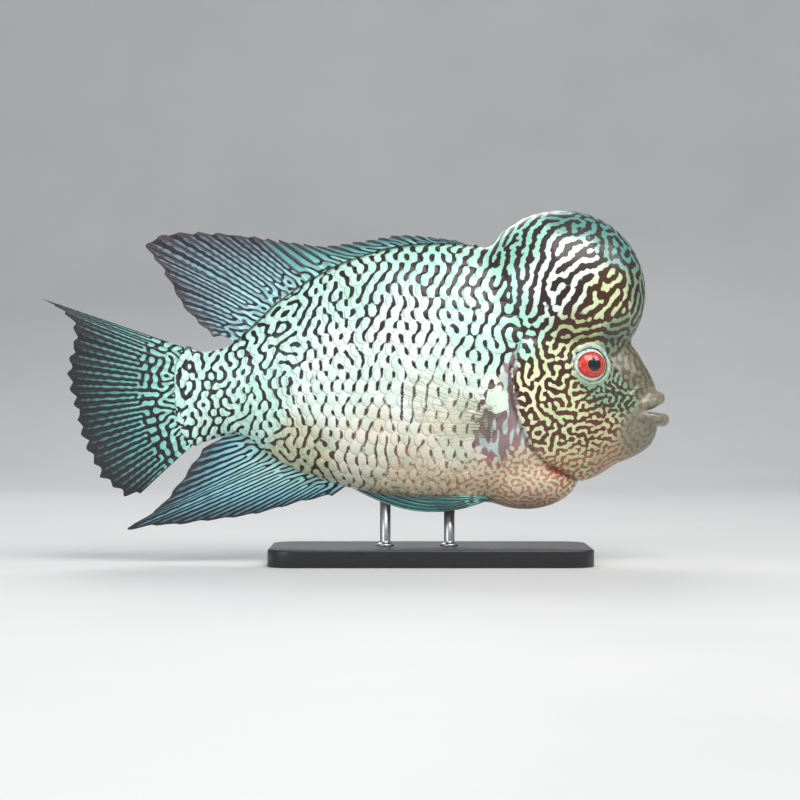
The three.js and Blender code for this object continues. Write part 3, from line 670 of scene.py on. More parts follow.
# x, z, reach, ground, ink, share of ink, spacing of the lines, dark (1) or bright (-1) middles
REGIONS = [
    (0, 138, 15, "mint", "wine", 0.43, 5.2, 1.0),
    (-32, 127, 14, "pale mint", "bark", 0.38, 5.2, 1.0),
    (-12, 112, 15, "milk", "bark", 0.33, 5.2, 1.0),
    (-4, 88, 18, "milk", "bark", 0.23, 5.2, 1.0),
    (22, 112, 14, "pale mint", "bark", 0.34, 5.2, 1.0),
    (-42, 96, 15, "milk", "soot", 0.30, 5.2, 0.7),
    (-48, 76, 13, "milk", "bark", 0.25, 5.2, 1.0),
    (-64, 112, 12, "pale mint", "soot", 0.42, 5.2, 0.4),
    (-74, 94, 12, "pale mint", "soot", 0.36, 4.8, -0.5),
    (-92, 96, 12, "pale mint", "soot", 0.42, 4.8, -0.9),
    (-106, 78, 13, "pale mint", "night", 0.42, 4.8, -1.0),
    (-82, 72, 11, "pale mint", "bark", 0.33, 4.8, -0.7),
    (-58, 56, 11, "bone", "earth", 0.33, 4.8, 0.7),
    (-26, 56, 14, "cream", "tan", 0.26, 4.9, 0.8),
    (-10, 38, 14, "sand", "clay", 0.26, 4.0, 0.3),
    (8, 60, 13, "cream", "tan", 0.21, 4.8, 0.9),
    (18, 36, 12, "sand", "blush", 0.38, 3.3, 0.0),
    (44, 34, 13, "sand", "blush", 0.46, 3.1, 0.0),
    (66, 44, 9, "straw", "rose", 0.50, 3.3, 0.0),
    (84, 48, 9, "dun", "rose", 0.46, 3.2, 0.0),
    (96, 58, 8, "khaki", "drab", 0.42, 3.2, 0.0),
    (60, 66, 11, "leaf", "brick", 0.56, 4.0, 0.0),
    (76, 62, 9, "straw", "brick", 0.55, 3.6, 0.0),
    (46, 82, 9, "lemon", "rust", 0.54, 4.2, 0.0),
    (56, 98, 8, "leaf", "rust", 0.57, 4.1, 0.0),
    (82, 80, 8, "sea", "earth", 0.56, 3.1, 0.0),
    (44, 106, 9, "mint", "plum", 0.50, 4.8, 0.0),
    (58, 132, 15, "milk", "wine", 0.53, 5.7, 0.0),
    (36, 122, 11, "mint", "wine", 0.50, 5.7, 0.0),
    (42, 148, 11, "jade", "plum", 0.52, 5.8, 0.0),
    (66, 162, 9, "teal", "smoke", 0.52, 5.6, 0.0),
    (90, 150, 10, "teal", "smoke", 0.54, 5.6, 0.0),
    (100, 128, 8, "moss", "plum", 0.55, 5.6, 0.0),
    (80, 124, 10, "leaf", "amber", 0.57, 5.6, 0.0),
    (66, 110, 8, "olive", "amber", 0.60, 5.0, 0.0),
    (88, 109, 7, "moss", "earth", 0.58, 4.6, 0.0),
    (97, 103, 6, "stone", "mud", 0.50, 4.4, 0.0),
    (96, 91, 8, "stone", "mud", 0.50, 4.0, 0.0),
    (107, 76, 6, "khaki", "drab", 0.40, 4.0, 0.0),
    (106, 66, 6, "khaki", "drab", 0.40, 4.0, 0.0),
]


def linear(colour):
    """Screen colour, 0 to 255, to the light it stands for."""
    c = np.asarray(colour, float) / 255
    return np.where(c < 0.04045, c / 12.92, ((c + 0.055) / 1.055) ** 2.4)


def deep(colour):
    """The wet film lightens dark skin, so dark ink is laid on darker than it looks."""
    light = linear(colour)
    return light * np.clip(0.42 + 4 * light.mean(-1, keepdims=True), 0, 1)


REGION_PLACES = np.array([r[:3] for r in REGIONS], float)
REGION_LOOKS = np.array([[*linear(GROUNDS[r[3]]), *deep(INKS[r[4]]), *r[5:]] for r in REGIONS])


def region_look(p):
    """Ground, ink, share, spacing and middles at points, from the regions around them."""
    out = np.empty((len(p), REGION_LOOKS.shape[1]))
    for i in range(0, len(p), 40000):
        q = p[i : i + 40000]
        dx = q[:, None, 0] - REGION_PLACES[None, :, 0]
        dz = q[:, None, 2] - REGION_PLACES[None, :, 1]
        weight = np.exp(-1.6 * (dx**2 + dz**2) / REGION_PLACES[None, :, 2] ** 2) + 1e-9
        weight /= weight.sum(1)[:, None]
        out[i : i + 40000] = weight @ REGION_LOOKS
    return out


print("regions:", len(REGIONS))

# %% [markdown]
# ## Markings that grow by themselves
# The maze on this fish grows in its skin from two signals. One spreads a short way and makes
# more of itself, the other spreads further and holds it back. A noise texture can't give such
# even lines, and drawn lines would look drawn, so the contest is run here. Starting from
# noise, some thirty rounds of it leave stripes, dots and worms of one spacing. A blur is the
# spread of a signal, and on a flat map all blurs are quick when they work on its waves. A weak
# nudge from the scales' own lattice lines the marks up with the scales.

# %% Contest on the flank map
FLANK_CELL = 0.5
FLANK_LOW = np.array([-128.0, -100.0])
FLANK_SHAPE = (400, 400)
ROUNDS = 30
SHORT_SPREAD = 0.153


def spread_kernel(shape, cell, sigma):
    """What a blur of that width does to each wave of a map, as its transform."""
    fx = np.fft.fftfreq(shape[0], cell)[:, None]
    fy = np.fft.rfftfreq(shape[1], cell)[None]
    return np.exp(-2 * math.pi**2 * ((fx * sigma[0]) ** 2 + (fy * sigma[1]) ** 2))


def contest_kernel(shape, cell, spacing, stretch=1.0):
    """The short spread less the long one, for lines of that spacing."""
    short = SHORT_SPREAD * spacing
    near = spread_kernel(shape, cell, (short, short * stretch))
    far = spread_kernel(shape, cell, (2 * short, 2 * short * (0.6 + 0.4 * stretch)))
    return near - far


def through(field, kernel):
    """A map after its waves have been weakened by a kernel."""
    return np.fft.irfft2(np.fft.rfft2(field) * kernel, s=field.shape)


def even_out(field, width):
    """Brings a field of waves to the same height everywhere."""
    level = spread_kernel(field.shape, 1, (width, width))
    return field / np.sqrt(2 * np.maximum(through(field**2, level), 1e-6))


def flank_looks():
    """The share of ink, the spacing and the middles at every cell of the flank map."""
    axes = [low + FLANK_CELL * np.arange(n) for low, n in zip(FLANK_LOW, FLANK_SHAPE)]
    along, row = np.meshgrid(np.clip(axes[0], -124, 63), axes[1], indexing="ij")
    place, _, _ = flank_place(along.ravel(), row.ravel())
    look = region_look(place).reshape(FLANK_SHAPE + (-1,))
    return along, row, look[..., 6], look[..., 7], look[..., 8]


def grow_flank(seed):
    rng = np.random.default_rng(seed)
    u = rng.standard_normal(FLANK_SHAPE)
    along, row, share, spacing, middles = flank_looks()

    def drift(size, width):
        blur = spread_kernel(FLANK_SHAPE, FLANK_CELL, (width, width))
        soft = through(rng.standard_normal(FLANK_SHAPE), blur)
        return size * soft / soft.std()

    column = np.interp(along + drift(0.45, 4), COLUMN_X, COLUMN_AT)
    line = (row + drift(0.5, 5)) / ROW_PITCH
    lattice = np.cos(2 * math.pi * column) * np.cos(math.pi * line)
    upright = ease(0.33, 0.25, share) * ease(4.0, 4.8, spacing)
    fine = ease(4.7, 3.8, spacing)
    kernels = [contest_kernel(FLANK_SHAPE, FLANK_CELL, 5.0),
               contest_kernel(FLANK_SHAPE, FLANK_CELL, 4.6, 1.6),
               contest_kernel(FLANK_SHAPE, FLANK_CELL, 3.1)]
    weights = [(1 - upright) * (1 - fine), upright * (1 - fine), fine]
    push = (0.95 + drift(0.45, 3)) * lattice * middles * (1 - 0.8 * fine)
    push = push + drift(0.35, 1.2)

    def respond(u):
        return sum(w * through(u, k) for w, k in zip(weights, kernels))

    for _ in range(ROUNDS):
        u = np.tanh(4.5 * respond(u) + push)
    field = even_out(respond(u) + 0.05 * push, 18)
    return field - np.cos(math.pi * share)


def read_map(grid, low, cell, u, v):
    """Values of a map between its cells."""
    a = np.clip((u - low[0]) / cell[0], 0, grid.shape[0] - 1.001)
    b = np.clip((v - low[1]) / cell[1], 0, grid.shape[1] - 1.001)
    i, j = a.astype(int), b.astype(int)
    s, t = a - i, b - j
    top = grid[i, j] * (1 - t) + grid[i, j + 1] * t
    return top * (1 - s) + (grid[i + 1, j] * (1 - t) + grid[i + 1, j + 1] * t) * s


FLANK_MAPS = {-1: grow_flank(7), 1: grow_flank(11)}


def flank_marks(p, side):
    """The flank's markings at points of one side."""
    row = flank_row(p)
    return read_map(FLANK_MAPS[side], FLANK_LOW, (FLANK_CELL, FLANK_CELL), p[:, 0], row)


print("flank marks cover", [round(float((m > 0).mean()), 2) for m in FLANK_MAPS.values()])

# %% [markdown]
# The head and the hump have no scales and no flat map. Unrolling them would stretch the maze,
# so the same contest runs there from vertex to neighbouring vertex over the skin itself, where
# each vertex passes a little of its signal on at each step. The spacing differs from the hump
# to the cheek and the throat. On the hump the lines lean one way, and on the cheek they run
# round the eye.

# %% Contest on the head's skin
HEAD_ROUNDS = 28


def lie_of_lines(p):
    """The way in which the lines run on the head's side, and how strongly."""
    x, z = p[:, 0], p[:, 2]
    on_hump = ease(110, 118, z)
    brow = ridge(z, 108, 5) * ease(58, 66, x)
    turn = np.radians(84 - 36 * ease(42, 66, x)) * on_hump * (1 - brow)
    way = np.stack([np.cos(turn), np.sin(turn)], 1)
    round_eye = np.stack([-(z - EYE["z"]), x - EYE["x"]], 1)
    round_eye /= np.linalg.norm(round_eye, axis=1)[:, None] + 1e-6
    cheek = ((1 - on_hump) * (1 - brow))[:, None]
    way = np.where(cheek > 0.5, round_eye, way)
    return way, 0.5 * on_hump * (1 - brow) + 0.6 * brow + 0.16 * cheek[:, 0]


def skin_edges(points, faces, quads):
    """Pairs of neighbouring vertices and the weight of each pair. Corners across a face count
    a little too, so that the signals spread evenly in all directions."""
    sides = [np.array([f, f[1:] + f[:1]]).T for f in faces[len(quads):]]
    sides = [np.stack([quads, np.roll(quads, -1, axis=1)], 2).reshape(-1, 2)] + sides
    edges = np.unique(np.sort(np.vstack(sides), axis=1), axis=0)
    across = np.vstack([quads[:, [0, 2]], quads[:, [1, 3]]])
    weight = np.r_[np.ones(len(edges)), np.full(len(across), 0.25)]
    return np.vstack([edges, across]), weight


def grow_head(points, faces, quads, look, ahead):
    chosen = np.flatnonzero(ahead)
    number = np.full(len(points), -1)
    number[chosen] = np.arange(len(chosen))
    edges, weight = skin_edges(points, faces, quads)
    inside = (number[edges] >= 0).all(1)
    weight, (a, b) = weight[inside], number[edges[inside]].T
    p = points[chosen]
    spacing = look[chosen, 7]
    step = p[b] - p[a]
    length = np.linalg.norm(step, axis=1) * np.where(weight < 1, 0.7071, 1)
    way, strength = lie_of_lines((p[a] + p[b]) / 2)
    along = (step[:, [0, 2]] * way).sum(1) / np.linalg.norm(step, axis=1)
    near_steps, far_steps, level_steps = 6, 18, 120
    short = SHORT_SPREAD * 0.5 * (spacing[a] + spacing[b])
    rate = weight * short**2 / (3 * near_steps * length**2)

    def hold_back(rate):
        """No vertex may pass on more than it has, or the contest turns to a chequerboard."""
        total = np.bincount(a, rate, len(p)) + np.bincount(b, rate, len(p))
        return rate * np.minimum(1, 0.8 / np.maximum(total[a], total[b]))

    # The short spread runs further along the lines' lie, the long one is the same all round.
    even = hold_back(rate)
    leaning = hold_back(rate * (1 + strength * (2 * along**2 - 1)))

    def spread(u, steps, rate):
        for _ in range(steps):
            flow = rate * (u[b] - u[a])
            u = u + np.bincount(a, flow, len(u)) - np.bincount(b, flow, len(u))
        return u

    def respond(u):
        near = spread(u, near_steps, leaning)
        return near - spread(near, far_steps, even)

    u = np.random.default_rng(5).standard_normal(len(chosen))
    for _ in range(HEAD_ROUNDS):
        u = np.tanh(5 * respond(u))
    field = respond(u)
    level = np.sqrt(2 * np.maximum(spread(field**2, level_steps, even), 1e-6))
    marks = np.zeros(len(points))
    marks[chosen] = field / level - np.cos(math.pi * look[chosen, 6])
    return marks


def patches(p, spacing, seed):
    """A soft field of patches, about -1 to 1, from a few crossing waves."""
    rng = np.random.default_rng(seed)
    waves = 14
    ways = rng.normal(0, 1, (waves, 3))
    ways *= (2 * math.pi / spacing) / np.linalg.norm(ways, axis=1)[:, None]
    return np.cos(p @ ways.T + rng.uniform(0, 6.28, waves)).sum(1) / waves**0.5 * 1.2


skin_look = region_look(skin_points)
gill_gap, _ = side_gap(skin_points, GILL_EDGE)
breast = ease(54, 46, skin_points[:, 2]) * ease(16, 26, skin_points[:, 0])
head_marks = grow_head(skin_points, skin_faces, small_quads, skin_look,
                       (gill_gap > -7) | (breast > 0))
side_of = np.where(skin_points[:, 1] < 0, -1, 1)
trunk_marks = np.where(side_of < 0, flank_marks(skin_points, -1), flank_marks(skin_points, 1))
head_share = np.maximum(ease(-4.5, 0.5, gill_gap), breast)
skin_marks = trunk_marks * (1 - head_share) + head_marks * head_share
skin_marks += 0.4 * patches(skin_points, 2.6, 21) * head_share
print("head marks cover", round(float((head_marks[gill_gap > 0] > 0).mean()), 2))

# %% [markdown]
# ## Helpers for meshes
# Blender builds a mesh from lists of points and faces. These helpers turn arrays in
# millimetres into meshes in metres, make the faces of a grid or of a row of rings, and lay
# values on the vertices for the materials to read.

# %% Mesh helpers
def make_mesh(name, points, faces, smooth=True):
    mesh = bpy.data.meshes.new(name)
    mesh.from_pydata((np.asarray(points) * MM).tolist(), [], [list(map(int, f)) for f in faces])
    mesh.polygons.foreach_set("use_smooth", [smooth] * len(mesh.polygons))
    mesh.update()
    thing = bpy.data.objects.new(name, mesh)
    bpy.context.collection.objects.link(thing)
    return thing


def grid_faces(number):
    """The faces between the rows of a grid of vertex numbers."""
    corners = [number[:-1, :-1], number[1:, :-1], number[1:, 1:], number[:-1, 1:]]
    return np.stack(corners, -1).reshape(-1, 4)


def ring_faces(number):
    """The faces between rings of vertex numbers, where each ring closes on itself."""
    after = np.roll(number, -1, axis=1)
    corners = [number[:-1], after[:-1], after[1:], number[1:]]
    return np.stack(corners, -1).reshape(-1, 4).tolist()


def triangle_count(thing):
    return sum(len(f.vertices) - 2 for f in thing.data.polygons)


def lay(mesh, name, values):
    """Lays one number, three numbers or one colour on each vertex."""
    values = np.asarray(values, float)
    if values.ndim == 1:
        layer = mesh.attributes.new(name, "FLOAT", "POINT")
        layer.data.foreach_set("value", values)
    elif values.shape[1] == 4:
        layer = mesh.attributes.new(name, "FLOAT_COLOR", "POINT")
        layer.data.foreach_set("color", values.ravel())
    else:
        layer = mesh.attributes.new(name, "FLOAT_VECTOR", "POINT")
        layer.data.foreach_set("vector", values.ravel())


def lay_coat(mesh, coat):
    """Lays the marks and the two colours that the skin and the scales are painted with."""
    lay(mesh, "marks", coat["marks"])
    for layer in ("ground", "ink"):
        lay(mesh, layer, np.hstack([coat[layer], np.ones((len(coat[layer]), 1))]))


def read_points(mesh, kind="co"):
    flat = np.empty(len(mesh.vertices) * 3)
    mesh.vertices.foreach_get(kind, flat)
    return flat.reshape(-1, 3)


print("mesh helpers ready")

# %% [markdown]
# ## The skin
# The small things that make the head real are laid over the maze: a mauve film of bare skin
# behind the gill cover and round the root of the pectoral fin, a bulge above that root with a
# painted highlight on it and a ring of painted shade round its foot, a red streak in the fold of
# the throat, pale lids with a few dark dots, and painted shade inside the mouth and the
# nostrils. They could be painted in the material, but then the scales would need them a second
# time. Here one function dresses any point of the fish, and both the skin and the scales call it.

# %% Skin
def eye_spot(p, marks):
    """The dark ring with a bright middle at the root of the tail fin."""
    away = np.hypot((p[..., 0] + 114) / 3.9, (p[..., 2] - 86) / 7.2)
    shift = 1.1 * ridge(away, 1.0, 0.22) - 0.8 * ridge(away, 1.5, 0.22)
    return marks + shift - 0.5 * ridge(away, 0.3, 0.4)


def paint(coat, amount, ground=None, ink=None):
    """Lays new colours over a coat, fully where the amount is 1."""
    for layer, colour in (("ground", ground), ("ink", ink)):
        if colour:
            share = amount[:, None]
            coat[layer] = coat[layer] * (1 - share) + deep(colour) * share


def paint_film(coat, p, gap):
    """The bare skin behind the gill cover and round the pectoral fin's root, with a painted highlight
    and painted shade on the bulge above it.
    """
    x, z = p[:, 0], p[:, 2]
    behind = ease(0.5, -1.5, gap)
    soft = patches(p, 4.5, 3)
    far = np.interp(z, [80, 94], [-8.5, -4.5])
    film = ease(1.5, -1.1, gap + 1.5 * soft) * ease(0, 2.4, gap - far - 1.2 * soft)
    film = film * ease(103, 93, z) * ease(50, 60, z)
    from_root = np.hypot((x - 30) / 10, (z - 61) / 13.5) + 0.16 * soft
    root = ease(1.08, 0.84, from_root) * behind
    bare = np.maximum(film, root)
    paint(coat, bare, (196, 212, 206), (150, 124, 130))
    streaks = patches(p * [2.4, 1, 0.8], 6.5, 8) + 0.28
    rim = root * ease(0.6, 0.95, from_root) * ease(58, 50, z)
    paint(coat, rim, ink=(168, 104, 104))
    # Painted light and shade on the bulge above the fin's root: a pale painted highlight on the bulge,
    # and a dark ring of painted shade round its foot.
    from_bulge = np.hypot((x - 30.5) / 5.4, (z - 76) / 6.6) + 0.1 * soft
    bulge = ease(1.02, 0.8, from_bulge) * behind
    ring = ridge(from_bulge, 1.16, 0.2) * behind
    paint(coat, bulge, ground=(222, 238, 222))
    paint(coat, ring, ink=(118, 96, 98))
    marks = coat["marks"] * (1 - bare) + bare * streaks
    # The painted highlight clears the marks on the bulge, and the ring of painted shade is drawn in
    # ink.
    coat["marks"] = marks + 0.7 * rim - 1.6 * bulge + 0.9 * ring


def paint_lids(coat, p):
    """Pale lids, darker below, with a few dark dots above."""
    e = to_eye(fold_right(p), 1)
    away = np.hypot(e[:, 0], e[:, 2]) + 4 * ease(6, 12, np.abs(e[:, 1]))
    up = e[:, 2]
    lid = ease(10.6, 9.0, away)
    paint(coat, lid * ease(-9, 4, up) * 0.9, ground=(196, 214, 206))
    paint(coat, lid * ease(2, -8, up) * 0.8, ground=(126, 140, 122))
    paint(coat, lid, ink=(40, 40, 42))
    dots = patches(p, 3.4, 12) - 0.45 - ease(5, 1, up)
    coat["marks"] = coat["marks"] * (1 - lid) + np.minimum(dots, 1) * lid


def paint_hollow_shade(coat, p):
    """Painted shade inside the mouth and the nostrils, dark and a little reddish."""
    x, y, z = p[:, 0], np.abs(p[:, 1]), p[:, 2]
    middle = np.interp(x, [101, 112, 118], [71.5, 72.4, 73.2])
    inside = ease(108.0, 105.0, x) * ease(101, 103, x) * ease(2.6, 1.6, np.abs(z - middle))
    inside = inside * ease(9.5, 8, y)
    nostril = np.hypot(x - NOSTRIL["x"], z - NOSTRIL["z"])
    inside = np.maximum(inside, ease(1.25, 0.7, nostril) * ease(8, 11, y))
    # Painted shade: the hollows are coloured dark because little light reaches into them.
    paint(coat, inside, (50, 30, 28), (40, 24, 22))


def dress(p, look, gap, marks):
    """Ground, ink and marks at points of the skin or of its scales."""
    coat = {"ground": look[:, :3].copy(), "ink": look[:, 3:6].copy(), "marks": marks}
    paint_film(coat, p, gap)
    coat["marks"] = eye_spot(p, coat["marks"])
    paint(coat, ridge(gap, -1.4, 1.7) * ridge(p[:, 2], 43.6, 3.4), (184, 58, 44), (146, 38, 30))
    paint_lids(coat, p)
    # Painted shade inside the mouth and the nostrils.
    paint_hollow_shade(coat, p)
    back = ridge(p[:, 2] - body_at(p[:, 0])[0], 0.4, 1.1) * ease(24, 18, p[:, 0])
    paint(coat, back, ground=(40, 44, 46))
    return coat


def make_skin():
    skin = make_mesh("skin", skin_points, skin_faces)
    coat = dress(skin_points, skin_look, gill_gap, skin_marks)
    # Painted shade: ground and ink are darkened in the grooves of the folds, where less light falls.
    shade = 1 - 0.5 * np.clip(-skin_rise / 0.45, 0, 1)[:, None]
    for layer in ("ground", "ink"):
        coat[layer] = coat[layer] * shade
    lay_coat(skin.data, coat)
    lay(skin.data, "out", read_points(skin.data, "normal"))
    return skin


skin = make_skin()
print("skin:", triangle_count(skin), "triangles")

# %% [markdown]
# ## Building materials
# Node trees can be built by hand in the editor, but a script is easier to read when a formula
# looks like one. A socket that carries a number is wrapped, so that ordinary sums add their
# Math nodes. Every other node comes from one method that takes its type, its settings and the
# values of its sockets.

# %% Material tools
class Number:
    """A socket that carries a number, for use in sums."""

    def __init__(self, look, socket):
        self.look = look
        self.socket = socket

    def sum_with(self, operation, *terms):
        values = dict(enumerate(terms))
        made = self.look.node("ShaderNodeMath", {"operation": operation}, values)
        return Number(self.look, made.outputs[0])

    def __add__(self, other):
        return self.sum_with("ADD", self, other)

    __radd__ = __add__

    def __sub__(self, other):
        return self.sum_with("SUBTRACT", self, other)

    def __rsub__(self, other):
        return self.sum_with("SUBTRACT", other, self)

    def __mul__(self, other):
        return self.sum_with("MULTIPLY", self, other)

    __rmul__ = __mul__

    def __truediv__(self, other):
        return self.sum_with("DIVIDE", self, other)

    def __pow__(self, other):
        return self.sum_with("POWER", self, other)

    def part(self):
        """What is left after the whole number."""
        return self.sum_with("FRACT", self)

    def size(self):
        return self.sum_with("ABSOLUTE", self)

    def wave(self):
        return self.sum_with("SINE", self)

    def least(self, other):
        return self.sum_with("MINIMUM", self, other)

    def angle(self, other):
        """The turn from the other axis to this one, in radians."""
        return self.sum_with("ARCTAN2", self, other)

    def ease(self, low, high):
        """0 below low and 1 above high, smooth between them."""
        made = self.look.node(
            "ShaderNodeMapRange",
            {"interpolation_type": "SMOOTHSTEP"},
            {"Value": self, "From Min": low, "From Max": high},
        )
        return Number(self.look, made.outputs[0])


class Look:
    """One material and the nodes in it."""

    def __init__(self, name):
        self.material = bpy.data.materials.new(name)
        self.material.use_nodes = True
        self.tree = self.material.node_tree
        self.shader = self.tree.nodes["Principled BSDF"]
        place = self.node("ShaderNodeTexCoord")
        self.place = place.outputs["Object"]

    def node(self, kind, settings=None, inputs=None):
        made = self.tree.nodes.new(kind)
        for name, value in (settings or {}).items():
            setattr(made, name, value)
        for name, value in (inputs or {}).items():
            self.feed(self.find(made, name), value)
        return made

    def find(self, node, name):
        if isinstance(name, int):
            return node.inputs[name]
        for socket in node.inputs:
            if socket.identifier == name:
                return socket
        return node.inputs[name]

    def feed(self, target, value):
        if isinstance(value, Number):
            value = value.socket
        if isinstance(value, bpy.types.NodeSocket):
            self.tree.links.new(value, target)
        else:
            target.default_value = value

    def read(self, name):
        """A number laid on the vertices."""
        made = self.node("ShaderNodeAttribute", {"attribute_name": name})
        return Number(self, made.outputs["Fac"])

    def read_colour(self, name):
        return self.node("ShaderNodeAttribute", {"attribute_name": name}).outputs["Color"]

    def read_vector(self, name):
        return self.node("ShaderNodeAttribute", {"attribute_name": name}).outputs["Vector"]

    def noise(self, scale, detail=2.0, place=None):
        inputs = {"Vector": place or self.place, "Scale": scale, "Detail": detail}
        return Number(self, self.node("ShaderNodeTexNoise", {}, inputs).outputs[0])

    def cells(self, scale):
        inputs = {"Vector": self.place, "Scale": scale}
        made = self.node("ShaderNodeTexVoronoi", {}, inputs)
        return Number(self, made.outputs["Distance"])

    def mix(self, amount, first, second, blend="MIX"):
        settings = {"data_type": "RGBA", "blend_type": blend}
        colours = [self.as_colour(first), self.as_colour(second)]
        inputs = {"Factor_Float": amount, "A_Color": colours[0], "B_Color": colours[1]}
        made = self.node("ShaderNodeMix", settings, inputs)
        return [s for s in made.outputs if s.identifier == "Result_Color"][0]

    def as_colour(self, value):
        if isinstance(value, tuple):
            return (*linear(value), 1.0)
        return value

    def axes(self, vector=None):
        """The three numbers of a vector, or of the place on the object."""
        made = self.node("ShaderNodeSeparateXYZ", {}, {0: vector or self.place})
        return [Number(self, made.outputs[i]) for i in range(3)]

    def vector(self, x, y, z):
        return self.node("ShaderNodeCombineXYZ", {}, {0: x, 1: y, 2: z}).outputs[0]

    def bump(self, height, strength, distance):
        inputs = {"Height": height, "Strength": strength, "Distance": distance}
        return self.node("ShaderNodeBump", {}, inputs).outputs[0]

    def set(self, **values):
        """Feeds the shader. Names use underscores for spaces."""
        for name, value in values.items():
            self.feed(self.shader.inputs[name.replace("_", " ")], value)
        return self.material


print("material tools ready")

# %% [markdown]
# ## Skin and scales
# The real skin is wet and a little pearly. Its markings could be a texture of their own, but
# they already lie on the vertices, so the material only draws the border between ground and
# ink and roughens it with a fine noise, until it looks grown and not printed. Pale parts
# glitter a little more than the ink. Scales also get fine growth rings, a darker free edge and
# a tint of their own.

# %% Skin material
def wet_skin(name, plates):
    look = Look(name)
    marks = look.read("marks")
    rough_edge = look.noise(900, 2) - 0.5
    mark = (marks + 0.7 * rough_edge).ease(-0.18, 0.18)
    cloud = look.noise(110, 3)
    speck = look.noise(1900, 1)
    colour = look.mix(mark, look.read_colour("ground"), look.read_colour("ink"))
    colour = look.mix(0.35 * cloud.ease(0.35, 0.7), colour, (205, 222, 214), "MULTIPLY")
    colour = look.mix(0.30 * speck.ease(0.5, 0.75), colour, (165, 150, 120), "MULTIPLY")
    height = 0.5 * look.noise(420, 3) + 0.25 * look.noise(1500, 2) - 0.35 * mark
    if plates:
        along, across, edge = look.axes(look.read_vector("plate"))
        fans = (across * 34 + along * 3).wave() * 0.5 + 0.5
        rings = (edge * 46).wave() * 0.5 + 0.5
        height = 0.6 * height + 0.10 * fans + 0.12 * rings
        shade = edge.ease(0.86, 1.0) * along.ease(-0.2, 0.4)
        colour = look.mix(0.4 * shade, colour, (120, 112, 104), "MULTIPLY")
        own = look.noise(260, 0, look.read_vector("home"))
        colour = look.mix(0.35 * own.ease(0.45, 0.7), colour, (200, 232, 220), "MULTIPLY")
        colour = look.mix(0.25 * (1 - own).ease(0.5, 0.75), colour, (240, 220, 206), "MULTIPLY")
    return look.set(
        Base_Color=colour,
        Roughness=0.42 - 0.12 * (1 - mark) + 0.12 * cloud,
        Normal=look.bump(height, 0.35, 0.0004),
        Coat_Weight=0.22 + 0.25 * cloud,
        Coat_Roughness=0.14,
        Specular_IOR_Level=0.4,
        Metallic=0.12 * (1 - mark),
    )


skin.data.materials.append(wet_skin("living skin", False))
print("skin material nodes:", len(skin.data.materials[0].node_tree.nodes))

# %% [markdown]
# ## Scale plates
# Real scales are thin plates, rooted in front and free behind, each row half a scale out of
# step with the next. Bump alone would leave the outline smooth, and a displaced skin could not
# overlap itself. So one plate is drawn flat, as a closed disc that is buried in front and
# lifted behind. It has about a hundred faces, because its markings lie on its vertices.

# %% One plate
PLATE = {"length": 9.6, "width": 8.1, "thick": 0.14, "steps": (10, 8)}


def make_plate():
    nu, nv = PLATE["steps"]
    u, v = np.meshgrid(np.linspace(-1, 1, nu + 1), np.linspace(-1, 1, nv + 1), indexing="ij")
    x = (u * np.sqrt(1 - v**2 / 2)).ravel()
    y = (v * np.sqrt(1 - u**2 / 2)).ravel()
    edge = np.hypot(x, y)
    height = 0.10 + 0.26 * x + 0.30 * (1 - edge**2)
    number = np.arange((nu + 1) * (nv + 1)).reshape(nu + 1, nv + 1)
    faces = grid_faces(number).tolist()
    rim = np.r_[number[:, 0], number[-1, 1:], number[-2::-1, -1], number[0, -2:0:-1]]
    low = number.size + np.arange(len(rim))
    faces += np.stack([np.roll(rim, -1), rim, low, np.roll(low, -1)], 1).tolist()
    faces.append(low[::-1].tolist())
    x, y, edge = (np.r_[q, q[rim]] for q in (x, y, edge))
    height = np.r_[height, height[rim] - PLATE["thick"]]
    flat = np.stack([x * PLATE["length"] / 2, y * PLATE["width"] / 2, 0 * x], 1)
    plate = make_mesh("plate", flat, faces)
    lay(plate.data, "plate", np.stack([x, y, edge], 1))
    lay(plate.data, "height", height * MM)
    bpy.context.collection.objects.unlink(plate)
    return plate


plate = make_plate()
print("plate:", triangle_count(plate), "triangles")

# %% [markdown]
# The roots of the scales could be scattered at random over the skin, but the real ones keep
# their rows to the tail. The flank map gives each root its place, and its neighbours on the map
# give its turn. The gill film, the fin pad and the breast stay bare.

# %% Roots of the plates
def may_bear_scale(here, row, low, high):
    """True where the trunk has scales: not on the keel, the back, the breast or bare skin."""
    x, z = here[:, 0], here[:, 2]
    arc = row / crowding(x)
    gap, _ = side_gap(here, GILL_EDGE)
    pad = np.hypot((x - 30) / 10.5, (z - 64) / 16) < 1
    breast = (x > 18) & (z < 51)
    behind_cover = gap < np.where((z > 50) & (z < 104), -8.6, -4.2)
    return (arc > low + 1.5) & (arc < high - 2.2) & ~pad & ~breast & behind_cover


